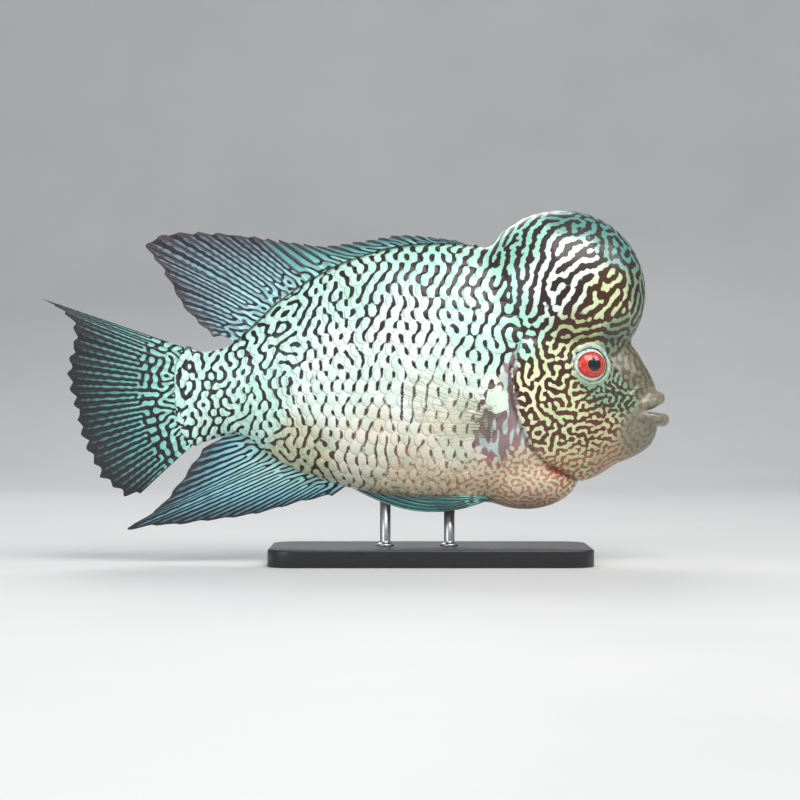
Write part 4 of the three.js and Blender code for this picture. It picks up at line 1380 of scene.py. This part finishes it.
def plate_roots(side):
    """Place, turn, size and home on the flank map of every plate of one side."""
    row, column = np.meshgrid(np.arange(-22.0, 23), np.arange(-34.0, 12))
    row, column = row.ravel(), column.ravel()
    rng = np.random.default_rng(3 + side)
    x = np.interp(column + 0.5 * (row % 2), COLUMN_AT, COLUMN_X)
    x = x + rng.normal(0, 0.16, len(row))
    row = row * ROW_PITCH + rng.normal(0, 0.14, len(row))
    keep = (x > -116) & (x < 44)
    x, row = x[keep], row[keep]
    here, low, high = flank_place(x, row)
    keep = may_bear_scale(here, row, low, high)
    x, row, here = x[keep], row[keep], here[keep]
    rear, _, _ = flank_place(x - 1.5, row)
    above, _, _ = flank_place(x, row + 1.0)
    back = rear - here
    out = np.cross(back, above - here)
    for vectors in (here, back, out):
        vectors[:, 1] *= side
    out[out[:, 1] * side < 0] *= -1
    turns = []
    for along, outward in zip(back, out):
        along, outward = Vector(along).normalized(), Vector(outward)
        upward = (outward - outward.dot(along) * along).normalized()
        across = upward.cross(along)
        turns.append(Matrix((along, across, upward)).transposed().to_euler())
    size = np.stack([1 / crowding(x), 1 / crowding(x), np.ones(len(x))], 1)
    home = np.stack([(x + 130) / 200, 0.5 + row / 320, 0 * x], 1)
    return here, np.array(turns), size, home


print("roots on the right side:", len(plate_roots(-1)[0]))

# %% [markdown]
# Over a thousand scales repeat one plate, which is work for Geometry Nodes. The tree puts a
# copy at each root, turns it a little unevenly, makes the copies real, and then drops every
# vertex onto the nearest place of the skin and lifts it along the skin's own outward direction,
# so that a plate bends with the body. A shrinkwrap would flatten the plates.

# %% Geometry nodes that set the plates
def plate_tree():
    tree = bpy.data.node_groups.new("set plates", "GeometryNodeTree")
    sockets = [("Roots", "NodeSocketGeometry"), ("Plate", "NodeSocketObject"),
               ("Skin", "NodeSocketObject"), ("Unevenness", "NodeSocketFloat"),
               ("Seed", "NodeSocketInt"), ("Material", "NodeSocketMaterial")]
    for name, kind in sockets:
        tree.interface.new_socket(name, in_out="INPUT", socket_type=kind)
    tree.interface.new_socket("Plates", in_out="OUTPUT", socket_type="NodeSocketGeometry")

    def add(kind, settings=None, inputs=None):
        made = tree.nodes.new(kind)
        for name, value in (settings or {}).items():
            setattr(made, name, value)
        for name, value in (inputs or {}).items():
            if isinstance(value, bpy.types.NodeSocket):
                tree.links.new(value, made.inputs[name])
            else:
                made.inputs[name].default_value = value
        return made

    def named(name, kind="FLOAT_VECTOR"):
        return add("GeometryNodeInputNamedAttribute", {"data_type": kind}, {"Name": name}).outputs[0]

    given = add("NodeGroupInput").outputs
    plate_info = add("GeometryNodeObjectInfo", {}, {"Object": given["Plate"]})
    skin_info = add("GeometryNodeObjectInfo", {}, {"Object": given["Skin"]})
    turn = add("FunctionNodeEulerToRotation", {}, {0: named("turn")})
    sway = add("ShaderNodeVectorMath", {"operation": "SCALE"},
               {0: (0.0, 0.0, 1.0), "Scale": given["Unevenness"]})
    back = add("ShaderNodeVectorMath", {"operation": "SCALE"}, {0: sway.outputs[0], "Scale": -1.0})
    draw = add("FunctionNodeRandomValue", {"data_type": "FLOAT_VECTOR"},
               {0: back.outputs[0], 1: sway.outputs[0], "Seed": given["Seed"]})
    small_turn = add("FunctionNodeEulerToRotation", {}, {0: draw.outputs[0]})
    both = add("FunctionNodeRotateRotation", {"rotation_space": "LOCAL"},
               {0: turn.outputs[0], 1: small_turn.outputs[0]})
    copies = add("GeometryNodeInstanceOnPoints", {},
                 {"Points": given["Roots"], "Instance": plate_info.outputs["Geometry"],
                  "Rotation": both.outputs[0], "Scale": named("size")})
    real = add("GeometryNodeRealizeInstances", {}, {0: copies.outputs[0]})
    here = add("GeometryNodeInputPosition").outputs[0]
    nearest = add("GeometryNodeProximity", {"target_element": "FACES"},
                  {0: skin_info.outputs["Geometry"], "Sample Position": here})
    outward = add("GeometryNodeSampleNearestSurface", {"data_type": "FLOAT_VECTOR"},
                  {"Mesh": skin_info.outputs["Geometry"], "Value": named("out"),
                   "Sample Position": here})
    lift = add("ShaderNodeVectorMath", {"operation": "SCALE"},
               {0: outward.outputs[0], "Scale": named("height", "FLOAT")})
    place = add("ShaderNodeVectorMath", {"operation": "ADD"},
                {0: nearest.outputs["Position"], 1: lift.outputs[0]})
    moved = add("GeometryNodeSetPosition", {},
                {"Geometry": real.outputs[0], "Position": place.outputs[0]})
    painted = add("GeometryNodeSetMaterial", {},
                  {"Geometry": moved.outputs[0], "Material": given["Material"]})
    add("NodeGroupOutput", {}, {0: painted.outputs[0]})
    return tree


def plain_mesh(name, thing):
    """What the modifiers of a thing make, as an object of its own."""
    depsgraph = bpy.context.evaluated_depsgraph_get()
    mesh = bpy.data.meshes.new_from_object(thing.evaluated_get(depsgraph))
    mesh.name = name
    mesh.polygons.foreach_set("use_smooth", [True] * len(mesh.polygons))
    bpy.data.objects.remove(thing)
    made = bpy.data.objects.new(name, mesh)
    bpy.context.collection.objects.link(made)
    return made


def set_plates(name, side, tree, material):
    here, turns, size, home = plate_roots(side)
    points = bpy.data.meshes.new(name + " roots")
    points.from_pydata((here * MM).tolist(), [], [])
    for layer, values in (("turn", turns), ("size", size), ("home", home)):
        lay(points, layer, values)
    roots = bpy.data.objects.new(name + " roots", points)
    bpy.context.collection.objects.link(roots)
    modifier = roots.modifiers.new("plates", "NODES")
    modifier.node_group = tree
    given = {"Plate": plate, "Skin": skin, "Unevenness": 0.07, "Seed": 4, "Material": material}
    for item in tree.interface.items_tree:
        if item.in_out == "INPUT" and item.name in given:
            modifier[item.identifier] = given[item.name]
    bpy.context.view_layer.update()
    return plain_mesh(name, roots), len(here)


def read_layer(mesh, name):
    values = np.empty(len(mesh.vertices) * 3)
    mesh.attributes[name].data.foreach_get("vector", values)
    return values.reshape(-1, 3)


def finish_plates(piece, side):
    """The same markings as the skin's, and a UV map that lays each plate at its home on the flank."""
    mesh = piece.data
    p = read_points(mesh) / MM
    gap, _ = side_gap(p, GILL_EDGE)
    lay_coat(mesh, dress(p, region_look(p), gap, flank_marks(p, side)))
    spot, home = read_layer(mesh, "plate"), read_layer(mesh, "home")
    corner = np.empty(len(mesh.loops), int)
    mesh.loops.foreach_get("vertex_index", corner)
    uv = home[corner, :2] + 0.0015 * spot[corner, :2]
    bake = mesh.uv_layers.new(name="OFBake")
    bake.data.foreach_set("uv", uv.ravel())


scale_material = wet_skin("scale plates", True)
tree = plate_tree()
scales = []
for side, name in ((-1, "scales_right"), (1, "scales_left")):
    piece, count = set_plates(name, side, tree, scale_material)
    finish_plates(piece, side)
    scales.append(piece)
    print(name, count, "plates,", triangle_count(piece), "triangles")

# %% [markdown]
# ## Fins
# A real fin is a fan of bony rays with a thin membrane between them, and each ray splits on its
# way to the margin. It could be a flat card with a picture of rays, but then nothing would catch
# the light. Here it is one closed sheet with a face on each side, thicker along the rays. This
# table says how each fin looks, from its root to its margin.

# %% Fin looks
# Membrane, dashes near the root, midway and at the margin, ray lines, share of the dashes at
# the three places, lines of dashes between two rays and how firmly they are held, how long a
# dash is with its gap and how clearly it ends, how clear the membrane and the rays are, and
# the margin's colour
FIN_LOOKS = {
    "dorsal_fin_spiny": {
        "membrane": (36, 38, 42), "dashes": [(150, 216, 206), (98, 176, 176), (78, 122, 128)],
        "rays": (48, 50, 56), "share": (0.60, 0.54, 0.40), "lines": 1, "hold": 0.8,
        "spacing": 9.0, "dots": 0.2, "clear": (0.02, 0.0), "margin": (112, 30, 24),
    },
    "dorsal_fin_soft": {
        "membrane": (42, 36, 43), "dashes": [(164, 222, 222), (134, 184, 198), (92, 110, 124)],
        "rays": (104, 98, 106), "share": (0.58, 0.44, 0.32), "lines": 2, "hold": 0.5,
        "spacing": 4.8, "dots": 1.1, "clear": (0.10, 0.02), "margin": (56, 44, 50),
    },
    "caudal_fin": {
        "membrane": (22, 23, 27), "dashes": [(170, 234, 218), (92, 168, 164), (40, 66, 72)],
        "rays": (24, 28, 31), "share": (0.58, 0.38, 0.28), "lines": 2, "hold": 0.65,
        "spacing": 3.9, "dots": 0.85, "clear": (0.06, 0.01), "margin": (26, 26, 30),
    },
    "anal_fin": {
        "membrane": (29, 29, 35), "dashes": [(178, 230, 224), (126, 196, 212), (66, 108, 126)],
        "rays": (36, 40, 48), "share": (0.60, 0.50, 0.34), "lines": 2, "hold": 0.7,
        "spacing": 7.0, "dots": 0.9, "clear": (0.06, 0.01), "margin": (34, 32, 38),
    },
    "pectoral_fin": {
        "membrane": (214, 206, 150), "dashes": [(150, 130, 90), (186, 172, 112), (206, 200, 150)],
        "rays": (166, 156, 104), "share": (0.20, 0.05, 0.02), "lines": 1, "hold": 0.2,
        "spacing": 6.0, "dots": 0.0, "clear": (1.00, 0.12), "margin": (206, 204, 176),
    },
    "pelvic_fin": {
        "membrane": (64, 78, 78), "dashes": [(150, 216, 206), (118, 208, 206), (92, 168, 172)],
        "rays": (150, 176, 160), "share": (0.50, 0.52, 0.40), "lines": 2, "hold": 0.8,
        "spacing": 8.0, "dots": 0.3, "clear": (0.08, 0.02), "margin": (70, 84, 84),
    },
}
print("fin looks:", len(FIN_LOOKS))

# %% [markdown]
# The dashes of a fin stand in files between its rays. They could be placed one by one, but they
# look alive when they come from the same contest as the skin's lines. It runs on a map with
# strips between rays one way and millimetres along the rays the other way.

# %% Markings of a fin
COLUMNS, STRIP_CELLS, EDGE_STRIPS = 14, 16, 2
REACH_CELL, REACH_CELLS = 0.4, 320


def curve_length(points):
    return np.linalg.norm(np.diff(spline(points), axis=0), axis=1).sum()


def grow_fin(spec, look, seed):
    """Markings on a map of strips between rays and distance along the rays in mm."""
    strips = spec["rays"] - 1
    shape = ((strips + 2 * EDGE_STRIPS) * STRIP_CELLS, REACH_CELLS)
    strip = (np.arange(shape[0]) / STRIP_CELLS - EDGE_STRIPS)[:, None]
    reach = (np.arange(shape[1]) * REACH_CELL)[None]
    u = np.random.default_rng(seed).standard_normal(shape)
    root_gap, margin_gap = (curve_length(spec[k]) / strips for k in ("root", "margin"))
    long = np.linalg.norm(spline(spec["root"]) - spline(spec["margin"]), axis=1).mean()
    gap = root_gap + (margin_gap - root_gap) * reach / long
    soft = through(u, spread_kernel(shape, 1, (9, 9)))
    along = (reach + 1.6 * soft / soft.std()) / look["spacing"]
    double = ease(3.9, 4.9, gap) * ease(1.5, 2, look["lines"]) * np.ones_like(u)
    maze = contest_kernel(shape, 1, 4.3 / REACH_CELL)
    pushes, dashes = [], []
    for lines in (1, 2):
        wave = -np.cos(2 * math.pi * lines * strip)
        beads = np.cos(2 * math.pi * along + math.pi * np.floor(lines * strip))
        pushes.append(look["hold"] * wave + look["dots"] * (0.5 + 0.5 * wave) * beads)
        wide = STRIP_CELLS / lines
        dashes.append(contest_kernel(shape, 1, wide, look["spacing"] / REACH_CELL / wide))
    ordered = ease(6, 15, reach) * np.ones_like(u)
    push = ordered * (pushes[0] * (1 - double) + pushes[1] * double)

    def respond(u):
        dash = through(u, dashes[0]) * (1 - double) + through(u, dashes[1]) * double
        return through(u, maze) * (1 - ordered) + ordered * dash

    for _ in range(ROUNDS):
        u = np.tanh(4.5 * respond(u) + push)
    return even_out(respond(u) + 0.12 * push, 20)


print("map of the tail fin:", grow_fin(FINS["caudal_fin"], FIN_LOOKS["caudal_fin"], 0).shape)

# %% [markdown]
# Each ray runs from a share of the root curve to the same share of the margin, and splits into
# two and then four on its way. The ray tips reach a little past the membrane, so the margin is
# scalloped. The sheet starts inside the flesh, where its root can't be seen.

# %% Shape of a fin
def ray_relief(strip, reach, width, half):
    """1 on a ray, 0 between rays, with each ray splitting twice on its way out."""
    off = strip - np.round(strip)
    first = 0.16 * ease(0.38, 1.0, reach)
    second = 0.075 * ease(0.68, 1.0, reach)
    relief = np.zeros_like(off)
    for a in (-1, 1):
        for b in (-1, 1):
            away = (off - a * first - b * second) * width / half
            relief = np.maximum(relief, np.exp(-(away**2)))
    return relief


def scallops(strip, strips, rng):
    """How far the margin reaches past its curve: out at the rays, in between them."""
    near_ray = np.cos(math.pi * strip) ** 2
    over = 0.9 * near_ray - 0.9 * (1 - near_ray)
    for parts, size in ((2, 0.35), (6, 0.22)):
        draws = rng.normal(0, size, parts * strips + 1)
        over = over + np.interp(strip * parts, np.arange(parts * strips + 1), draws)
    return over


def fin_shape(spec, seed):
    """The middle of the sheet, the way to its two faces, and the map that lies on it."""
    strips = spec["rays"] - 1
    nu, nv = strips * COLUMNS + 1, spec["rows"] + 30
    root, margin = spline(spec["root"], nu), spline(spec["margin"], nu)
    share = np.linspace(0, 1, nu)
    length = np.linalg.norm(margin - root, axis=1)
    over = scallops(share * strips, strips, np.random.default_rng(seed))
    start, end = -spec["sink"] / length, 1 + over / length
    reach = start[:, None] + (end - start)[:, None] * np.linspace(0, 1, nv)[None]
    strip = (share * strips)[:, None] + 0 * reach
    inside = np.clip(reach, 0, 1)
    bow = np.array([spec["bow"](s) for s in share])
    p = root[:, None] + (margin - root)[:, None] * reach[..., None]
    p = p + bow[:, None] * (4 * inside * (1 - inside))[..., None]
    across = np.gradient(p, axis=0)
    out = np.cross(across, np.gradient(p, axis=1))
    out /= np.linalg.norm(out, axis=2)[..., None] + 1e-9
    width = np.linalg.norm(across, axis=2) * COLUMNS
    at_root, at_margin = spec["ray_half"]
    ray_half = np.clip(at_root + (at_margin - at_root) * reach, 0.12, None)
    relief = ray_relief(strip, reach, width, 1.15 * ray_half + 0.1)
    sheet = 0.17 - 0.08 * inside
    thick = sheet + np.clip(ray_half - sheet, 0, None) * relief
    thick[:, -1] *= 0.4
    return p, out * thick[..., None], (strip, reach, reach * length[:, None])


def fin_coat(name, spec, seed, strip, reach, along):
    """Marks, ground and ink of a fin, and where each vertex lies between and along rays."""
    look = FIN_LOOKS[name]
    grid = grow_fin(spec, look, seed)
    low, cell = (-float(EDGE_STRIPS), 0.0), (1 / STRIP_CELLS, REACH_CELL)
    marks = read_map(grid, low, cell, strip.ravel(), along.ravel()).reshape(strip.shape)
    marks = marks - np.cos(math.pi * np.interp(np.clip(reach, 0, 1), [0, 0.5, 1], look["share"]))
    dashes = np.array([linear(c) for c in look["dashes"]])
    ink = np.stack([np.interp(reach, [0.05, 0.5, 0.95], three) for three in dashes.T], -1)
    edge = ease(0.93, 0.985, reach)[..., None]
    ground = deep(look["membrane"]) * (1 - edge) + deep(look["margin"]) * edge
    on_rays = np.stack([strip, reach, 0 * reach], -1)
    return {"marks": marks - 1.2 * edge[..., 0], "ground": ground, "ink": ink, "fin": on_rays}


def close_sheet(name, p, offset, coat, mirror):
    """Two faces and a rim: one closed piece."""
    turn = [1, -1, 1] if mirror else [1, 1, 1]
    points = np.vstack([(p + offset).reshape(-1, 3), (p - offset).reshape(-1, 3)]) * turn
    n = np.arange(len(points) // 2).reshape(p.shape[:2])
    top = grid_faces(n)
    low = top[:, ::-1] + n.size
    ring = np.r_[n[:-1, 0], n[-1, :-1], n[:0:-1, -1], n[0, :0:-1]]
    after = np.roll(ring, -1)
    rim = np.stack([after, ring, ring + n.size, after + n.size], 1)
    faces = np.vstack([top, low, rim])
    if mirror:
        faces = faces[:, ::-1]
    fin = make_mesh(name, points, faces)
    both = {}
    for layer, values in coat.items():
        both[layer] = np.concatenate([values.reshape(n.size, *values.shape[2:])] * 2)
    lay_coat(fin.data, both)
    lay(fin.data, "fin", both["fin"])
    return fin


print("tail fin grid:", fin_shape(FINS["caudal_fin"], 0)[0].shape)

# %% [markdown]
# A real membrane lets some light through and a ray lets through less. The sheet could be glass,
# but it is simpler to thin the material's alpha between the rays. The fine lines of the rays
# and their joints are drawn from each vertex's place between and along the rays.

# %% Fin material
def fin_material(name, kind):
    look = Look(name)
    style = FIN_LOOKS[kind]
    strip, reach, _ = look.axes(look.read_vector("fin"))
    mark = (look.read("marks") + 0.5 * (look.noise(800, 2) - 0.5)).ease(-0.16, 0.16)
    off = (strip + 0.5).part() - 0.5
    first = reach.ease(0.38, 1.0) * 0.16
    second = reach.ease(0.68, 1.0) * 0.075
    near = (((off.size() - first).size()) - second).size()
    glassy = style["clear"][0] > 0.9
    wide = 1.25 + 1.5 * (1 - reach.ease(0.08, 0.5)) if glassy else 1.0
    line = 1 - near.ease(0.02 * wide, 0.055 * wide)
    fine = 1 - ((strip * 7 + look.noise(60, 1) * 0.5).part() - 0.5).size().ease(0.1, 0.3)
    cloud = look.noise(120, 3)
    joint = ((reach * 150).wave() * 0.5 + 0.5).ease(0.75, 1.0) * line * (1 - style["clear"][0])
    colour = look.mix(mark, look.read_colour("ground"), look.read_colour("ink"))
    rays = style["rays"]
    if glassy:
        rays = look.mix(reach.ease(0.12, 0.5), (62, 38, 34), rays)
    colour = look.mix(line * (0.6 + 0.3 * glassy - 0.4 * mark), colour, rays)
    colour = look.mix(0.35 * joint, colour, (40, 36, 38), "MULTIPLY")
    if not glassy:
        colour = look.mix(0.22 * fine, colour, (150, 150, 150), "MULTIPLY")
    colour = look.mix(0.5 * cloud.ease(0.4, 0.75), colour, (190, 190, 190), "MULTIPLY")
    between, on_ray = style["clear"]
    if glassy:
        on_ray = on_ray + 0.6 * reach.ease(0.15, 0.8)
    clear = (between + (on_ray - between) * line) * (1 - 0.5 * mark)
    held = 0.98 if glassy else 0.6
    clear = clear * (held + (1 - held) * reach.ease(0, 0.5))
    values = {
        "Base_Color": colour,
        "Roughness": 0.40 + 0.15 * cloud - 0.08 * mark,
        "Normal": look.bump(line + 0.25 * fine + 0.25 * mark - 0.3 * joint,
                            0.15 if glassy else 0.4, 0.0004),
        "Coat_Weight": 0.12 + 0.2 * cloud,
        "Coat_Roughness": 0.2,
        "Alpha": 1 - clear.least(0.97),
    }
    return look.set(**values)


print("glassy fins:", [name for name in FIN_LOOKS if FIN_LOOKS[name]["clear"][0] > 0.9])

# %% [markdown]
# The paired fins are drawn once on the left and mirrored, the others stand in the middle. The
# tail fin also carries the fish's dark eye spot at its root.

# %% The fins
NODE_OF = {}
for i, (name, spec) in enumerate(FINS.items()):
    seed = 20 + i
    p, offset, place = fin_shape(spec, seed)
    coat = fin_coat(name, spec, seed, *place)
    if name == "caudal_fin":
        coat["marks"] = eye_spot(p, coat["marks"])
    material = fin_material(name.replace("_", " "), name)
    paired = name in PAIRED_FINS
    for side in ("_left", "_right") if paired else ("",):
        fin = close_sheet(name + side + "_look", p, offset, coat, side == "_right")
        fin.data.materials.append(material)
        NODE_OF[name + side] = fin
        print(name + side, triangle_count(fin), "triangles")

# %% [markdown]
# ## Eyes
# A real eye is a ball in a socket, with a clear cornea over a bright iris. A clear shell over a
# painted disc would be nearest to that, but takes a second piece for each eye. Here each eye is
# one glossy ball that turns a little forward and down. A dark rim and a pale ring surround a bright red
# iris with fine streaks, and a black pupil sits slightly to the front.

# %% Eyes
def make_eye(side):
    rings, turns = 40, 96
    # More rings fall on the visible dome than on the hidden back.
    tilt = math.pi * np.linspace(0, 1, rings + 1) ** 1.25
    angle = np.linspace(0, 2 * math.pi, turns, endpoint=False)
    r = EYE["radius"] * np.sin(tilt)
    y = EYE["depth"] * np.cos(tilt) + EYE["stand"] - EYE["depth"]
    y = y + 0.45 * np.clip(1 - (r / 6.2) ** 2, 0, 1) * (tilt < 1.2)
    x = r[1:-1, None] * np.cos(angle)
    z = r[1:-1, None] * np.sin(angle)
    depth = np.broadcast_to(y[1:-1, None], x.shape)
    local = np.stack([x.ravel(), depth.ravel(), z.ravel()], 1)
    local = np.vstack([local, [0, y[0], 0], [0, y[-1], 0]])
    n = np.arange((rings - 1) * turns).reshape(rings - 1, turns)
    faces = ring_faces(n)
    for centre, ring in ((n.size, n[0][::-1]), (n.size + 1, n[-1])):
        faces += [[centre, a, b] for a, b in zip(ring, np.roll(ring, -1))]
    if side > 0:
        faces = [face[::-1] for face in faces]
    turn = np.array(eye_place(side))
    world = (local * [1, side, 1]) @ turn[:3, :3].T + turn[:3, 3]
    eye = make_mesh("eye_look_" + ("left" if side > 0 else "right"), world, faces)
    lay(eye.data, "eye", local * 0.1)
    return eye


def eye_material():
    look = Look("eye")
    x, _, z = look.axes(look.read_vector("eye"))
    x, z = x * 10, z * 10
    wide = (x * x + z * z) ** 0.5
    iris = (((x / 7.1) ** 2) + ((z / 6.2) ** 2)) ** 0.5
    pupil = (((x - 0.45) / 3.35) ** 2 + (z / 3.3) ** 2) ** 0.5
    angle = z.angle(x)
    streak = look.noise(1.0, 3, look.vector(angle * 5, wide * 0.5, 0.0))
    vein = look.noise(1.0, 2, look.vector(angle * 16, wide * 0.25, 3.0))
    red = look.mix(streak.ease(0.3, 0.7), (150, 10, 8), (232, 44, 20))
    red = look.mix(0.5 * vein.ease(0.5, 0.8), red, (250, 110, 50))
    red = look.mix((1 - (iris - 0.93).size().ease(0.0, 0.09)) * 0.6, red, (96, 8, 8))
    ring = look.mix(look.noise(700, 2).ease(0.35, 0.65), (186, 210, 200), (228, 240, 230))
    dots = (1 - look.cells(520).ease(0.22, 0.34)) * z.ease(2.0, 5.0)
    ring = look.mix(0.75 * dots, ring, (44, 40, 40))
    colour = look.mix(iris.ease(0.97, 1.03), red, ring)
    colour = look.mix(wide.ease(7.9, 8.3) * 0.6, colour, (60, 56, 54))
    gold = 1 - (pupil - 1.05).size().ease(0.02, 0.09)
    colour = look.mix(0.7 * gold, colour, (190, 96, 40))
    inner = 1 - pupil.ease(0.96, 1.02)
    colour = look.mix(inner, colour, (7, 9, 18))
    return look.set(
        Base_Color=colour,
        Roughness=0.32 - 0.2 * inner,
        Normal=look.bump(streak * (1 - inner), 0.15, 0.0003),
        Coat_Weight=0.7 + 0.1 * inner,
        Coat_Roughness=0.03,
    )


eye_look = eye_material()
for side, name in ((1, "eye_left"), (-1, "eye_right")):
    NODE_OF[name] = make_eye(side)
    NODE_OF[name].data.materials.append(eye_look)
print("eyes:", len(NODE_OF["eye_left"].data.polygons), "faces each")

# %% [markdown]
# ## The stand
# A living fish hangs in water, so a model of one needs a stand. It is a black plate with
# softened corners and two turned steel rods that end in the belly. Each of the three is a stack
# of rings that is closed at both ends, so one helper makes them all.

# %% Stand
BASE = {"size": (150, 72, 8), "corner": 12, "bevel": 1.0}
RODS = {"stand_rod_front": 9.0, "stand_rod_rear": -21.0}


def loft(name, rings):
    """A closed piece through rings of points, from the lowest ring to the highest."""
    number = np.arange(rings.shape[0] * rings.shape[1]).reshape(rings.shape[:2])
    ends = [number[-1].tolist(), number[0][::-1].tolist()]
    return make_mesh(name, rings.reshape(-1, 3), ring_faces(number) + ends)


def make_base():
    half_x, half_y, corner = BASE["size"][0] / 2, BASE["size"][1] / 2, BASE["corner"]
    turn = np.linspace(0, math.pi / 2, 13)
    loop = []
    for quarter, (sx, sy) in enumerate([(1, 1), (-1, 1), (-1, -1), (1, -1)]):
        a = turn + quarter * math.pi / 2
        loop.append(np.stack([sx * (half_x - corner) + corner * np.cos(a),
                              sy * (half_y - corner) + corner * np.sin(a)], 1))
    loop = np.vstack(loop)
    away = loop / np.linalg.norm(loop, axis=1)[:, None]
    bevel, top = BASE["bevel"], BASE["size"][2]
    profile = [(0.0, 0.4), (0.4, 0.0)]
    for t in np.linspace(0, math.pi / 2, 6):
        profile.append((top - bevel * (1 - math.sin(t)), bevel * (1 - math.cos(t))))
    rings = [np.column_stack([loop - away * inset, np.full(len(loop), z)])
             for z, inset in profile]
    base = loft("stand_base_look", np.array(rings))
    for face in base.data.polygons[-2:]:
        face.use_smooth = False
    return base


def make_rod(name, x):
    top = float(body_at(np.array([x]))[1][0]) + 0.8
    profile = [(8.0, 4.2), (8.6, 4.2), (9.1, 3.9), (9.4, 3.2), (9.9, 2.6), (10.6, 2.5), (top, 2.5)]
    turn = np.linspace(0, 2 * math.pi, 48, endpoint=False)
    rings = [np.stack([x + r * np.cos(turn), r * np.sin(turn), np.full(48, z)], 1)
             for z, r in profile]
    return loft(name + "_look", np.array(rings))


def base_material():
    look = Look("black plate")
    grain = look.noise(300, 3)
    return look.set(
        Base_Color=look.mix(grain, (20, 20, 22), (34, 34, 37)),
        Roughness=0.32 + 0.12 * grain,
        Normal=look.bump(look.noise(1400, 2), 0.08, 0.0002),
    )


def rod_material():
    look = Look("turned steel")
    x, y, z = look.axes()
    turned = look.noise(1.0, 3, look.vector(x * 60, y * 60, z * 5200))
    return look.set(
        Base_Color=look.mix(turned, (150, 152, 156), (196, 198, 202)),
        Roughness=0.24 + 0.14 * turned,
        Metallic=1.0,
        Normal=look.bump(turned, 0.12, 0.0001),
    )


NODE_OF["stand_base"] = make_base()
NODE_OF["stand_base"].data.materials.append(base_material())
steel = rod_material()
for name, x in RODS.items():
    NODE_OF[name] = make_rod(name, x)
    NODE_OF[name].data.materials.append(steel)
print("stand made")

# %% [markdown]
# ## Floor and light
# A pale floor runs back and bends up behind the fish. Large soft lights stand above, behind,
# in front and at the camera's left, so that wet highlights are broad and shadows are gentle.

# %% Floor and light
def make_floor():
    profile = [(-2.5, 0.0), (0.9, 0.0)]
    turn = np.linspace(0, math.pi / 2, 24)[1:]
    profile += [(0.9 + 0.8 * math.sin(t), 0.8 - 0.8 * math.cos(t)) for t in turn]
    profile += [(1.7, 5.0)]
    points = [(x * 1000, y * 1000, z * 1000) for y, z in profile for x in (-6.0, 6.0)]
    n = range(len(profile) - 1)
    return make_mesh("floor", points, [[2 * i, 2 * i + 1, 2 * i + 3, 2 * i + 2] for i in n])


def floor_material():
    look = Look("pale floor")
    grain = look.noise(9, 3)
    return look.set(
        Base_Color=look.mix(grain, (192, 193, 194), (202, 202, 201)),
        Roughness=0.55 + 0.1 * grain,
    )


def area_light(name, place, target, size, power, colour=(1, 1, 1)):
    light = bpy.data.lights.new(name, "AREA")
    light.shape = "RECTANGLE"
    light.size, light.size_y = size
    light.energy = power
    light.color = colour
    lamp = bpy.data.objects.new(name, light)
    lamp.location = place
    lamp.rotation_euler = (Vector(target) - Vector(place)).to_track_quat("-Z", "Y").to_euler()
    bpy.context.collection.objects.link(lamp)


floor = make_floor()
floor.data.materials.append(floor_material())
area_light("key", (0.30, -0.75, 1.05), (0, 0, 0.09), (0.9, 0.7), 13.5, (1, 0.98, 0.95))
area_light("fill", (-0.9, -0.9, 0.35), (0, 0, 0.08), (0.8, 0.8), 5.5, (0.94, 0.97, 1))
area_light("behind", (-0.25, 0.85, 0.85), (0, 0, 0.1), (0.9, 0.5), 6)
area_light("front", (0.85, -0.25, 0.75), (0.05, 0, 0.1), (0.4, 0.4), 3)
world = bpy.data.worlds.new("studio")
world.use_nodes = True
world.node_tree.nodes["Background"].inputs["Color"].default_value = (0.86, 0.90, 0.95, 1)
world.node_tree.nodes["Background"].inputs["Strength"].default_value = 0.5
bpy.context.scene.world = world
bpy.context.scene.view_settings.view_transform = "Standard"

# %% [markdown]
# ## The pieces on the body
# The skin and the pieces named after the frame's nodes hide those nodes, and every new piece
# rides on the one still body.

# %% Pieces on the body
bpy.data.objects.remove(plate)
FLESH = ["torso", "tail_stem", "nuchal_hump", "head", "lower_jaw", "gill_cover_left",
         "gill_cover_right"]
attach(skin, "root")
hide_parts(*FLESH)
for piece in scales:
    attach(piece, "root")
for name, piece in NODE_OF.items():
    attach(piece, "root")
    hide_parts(name)

print("pieces:", 1 + len(scales) + len(NODE_OF))
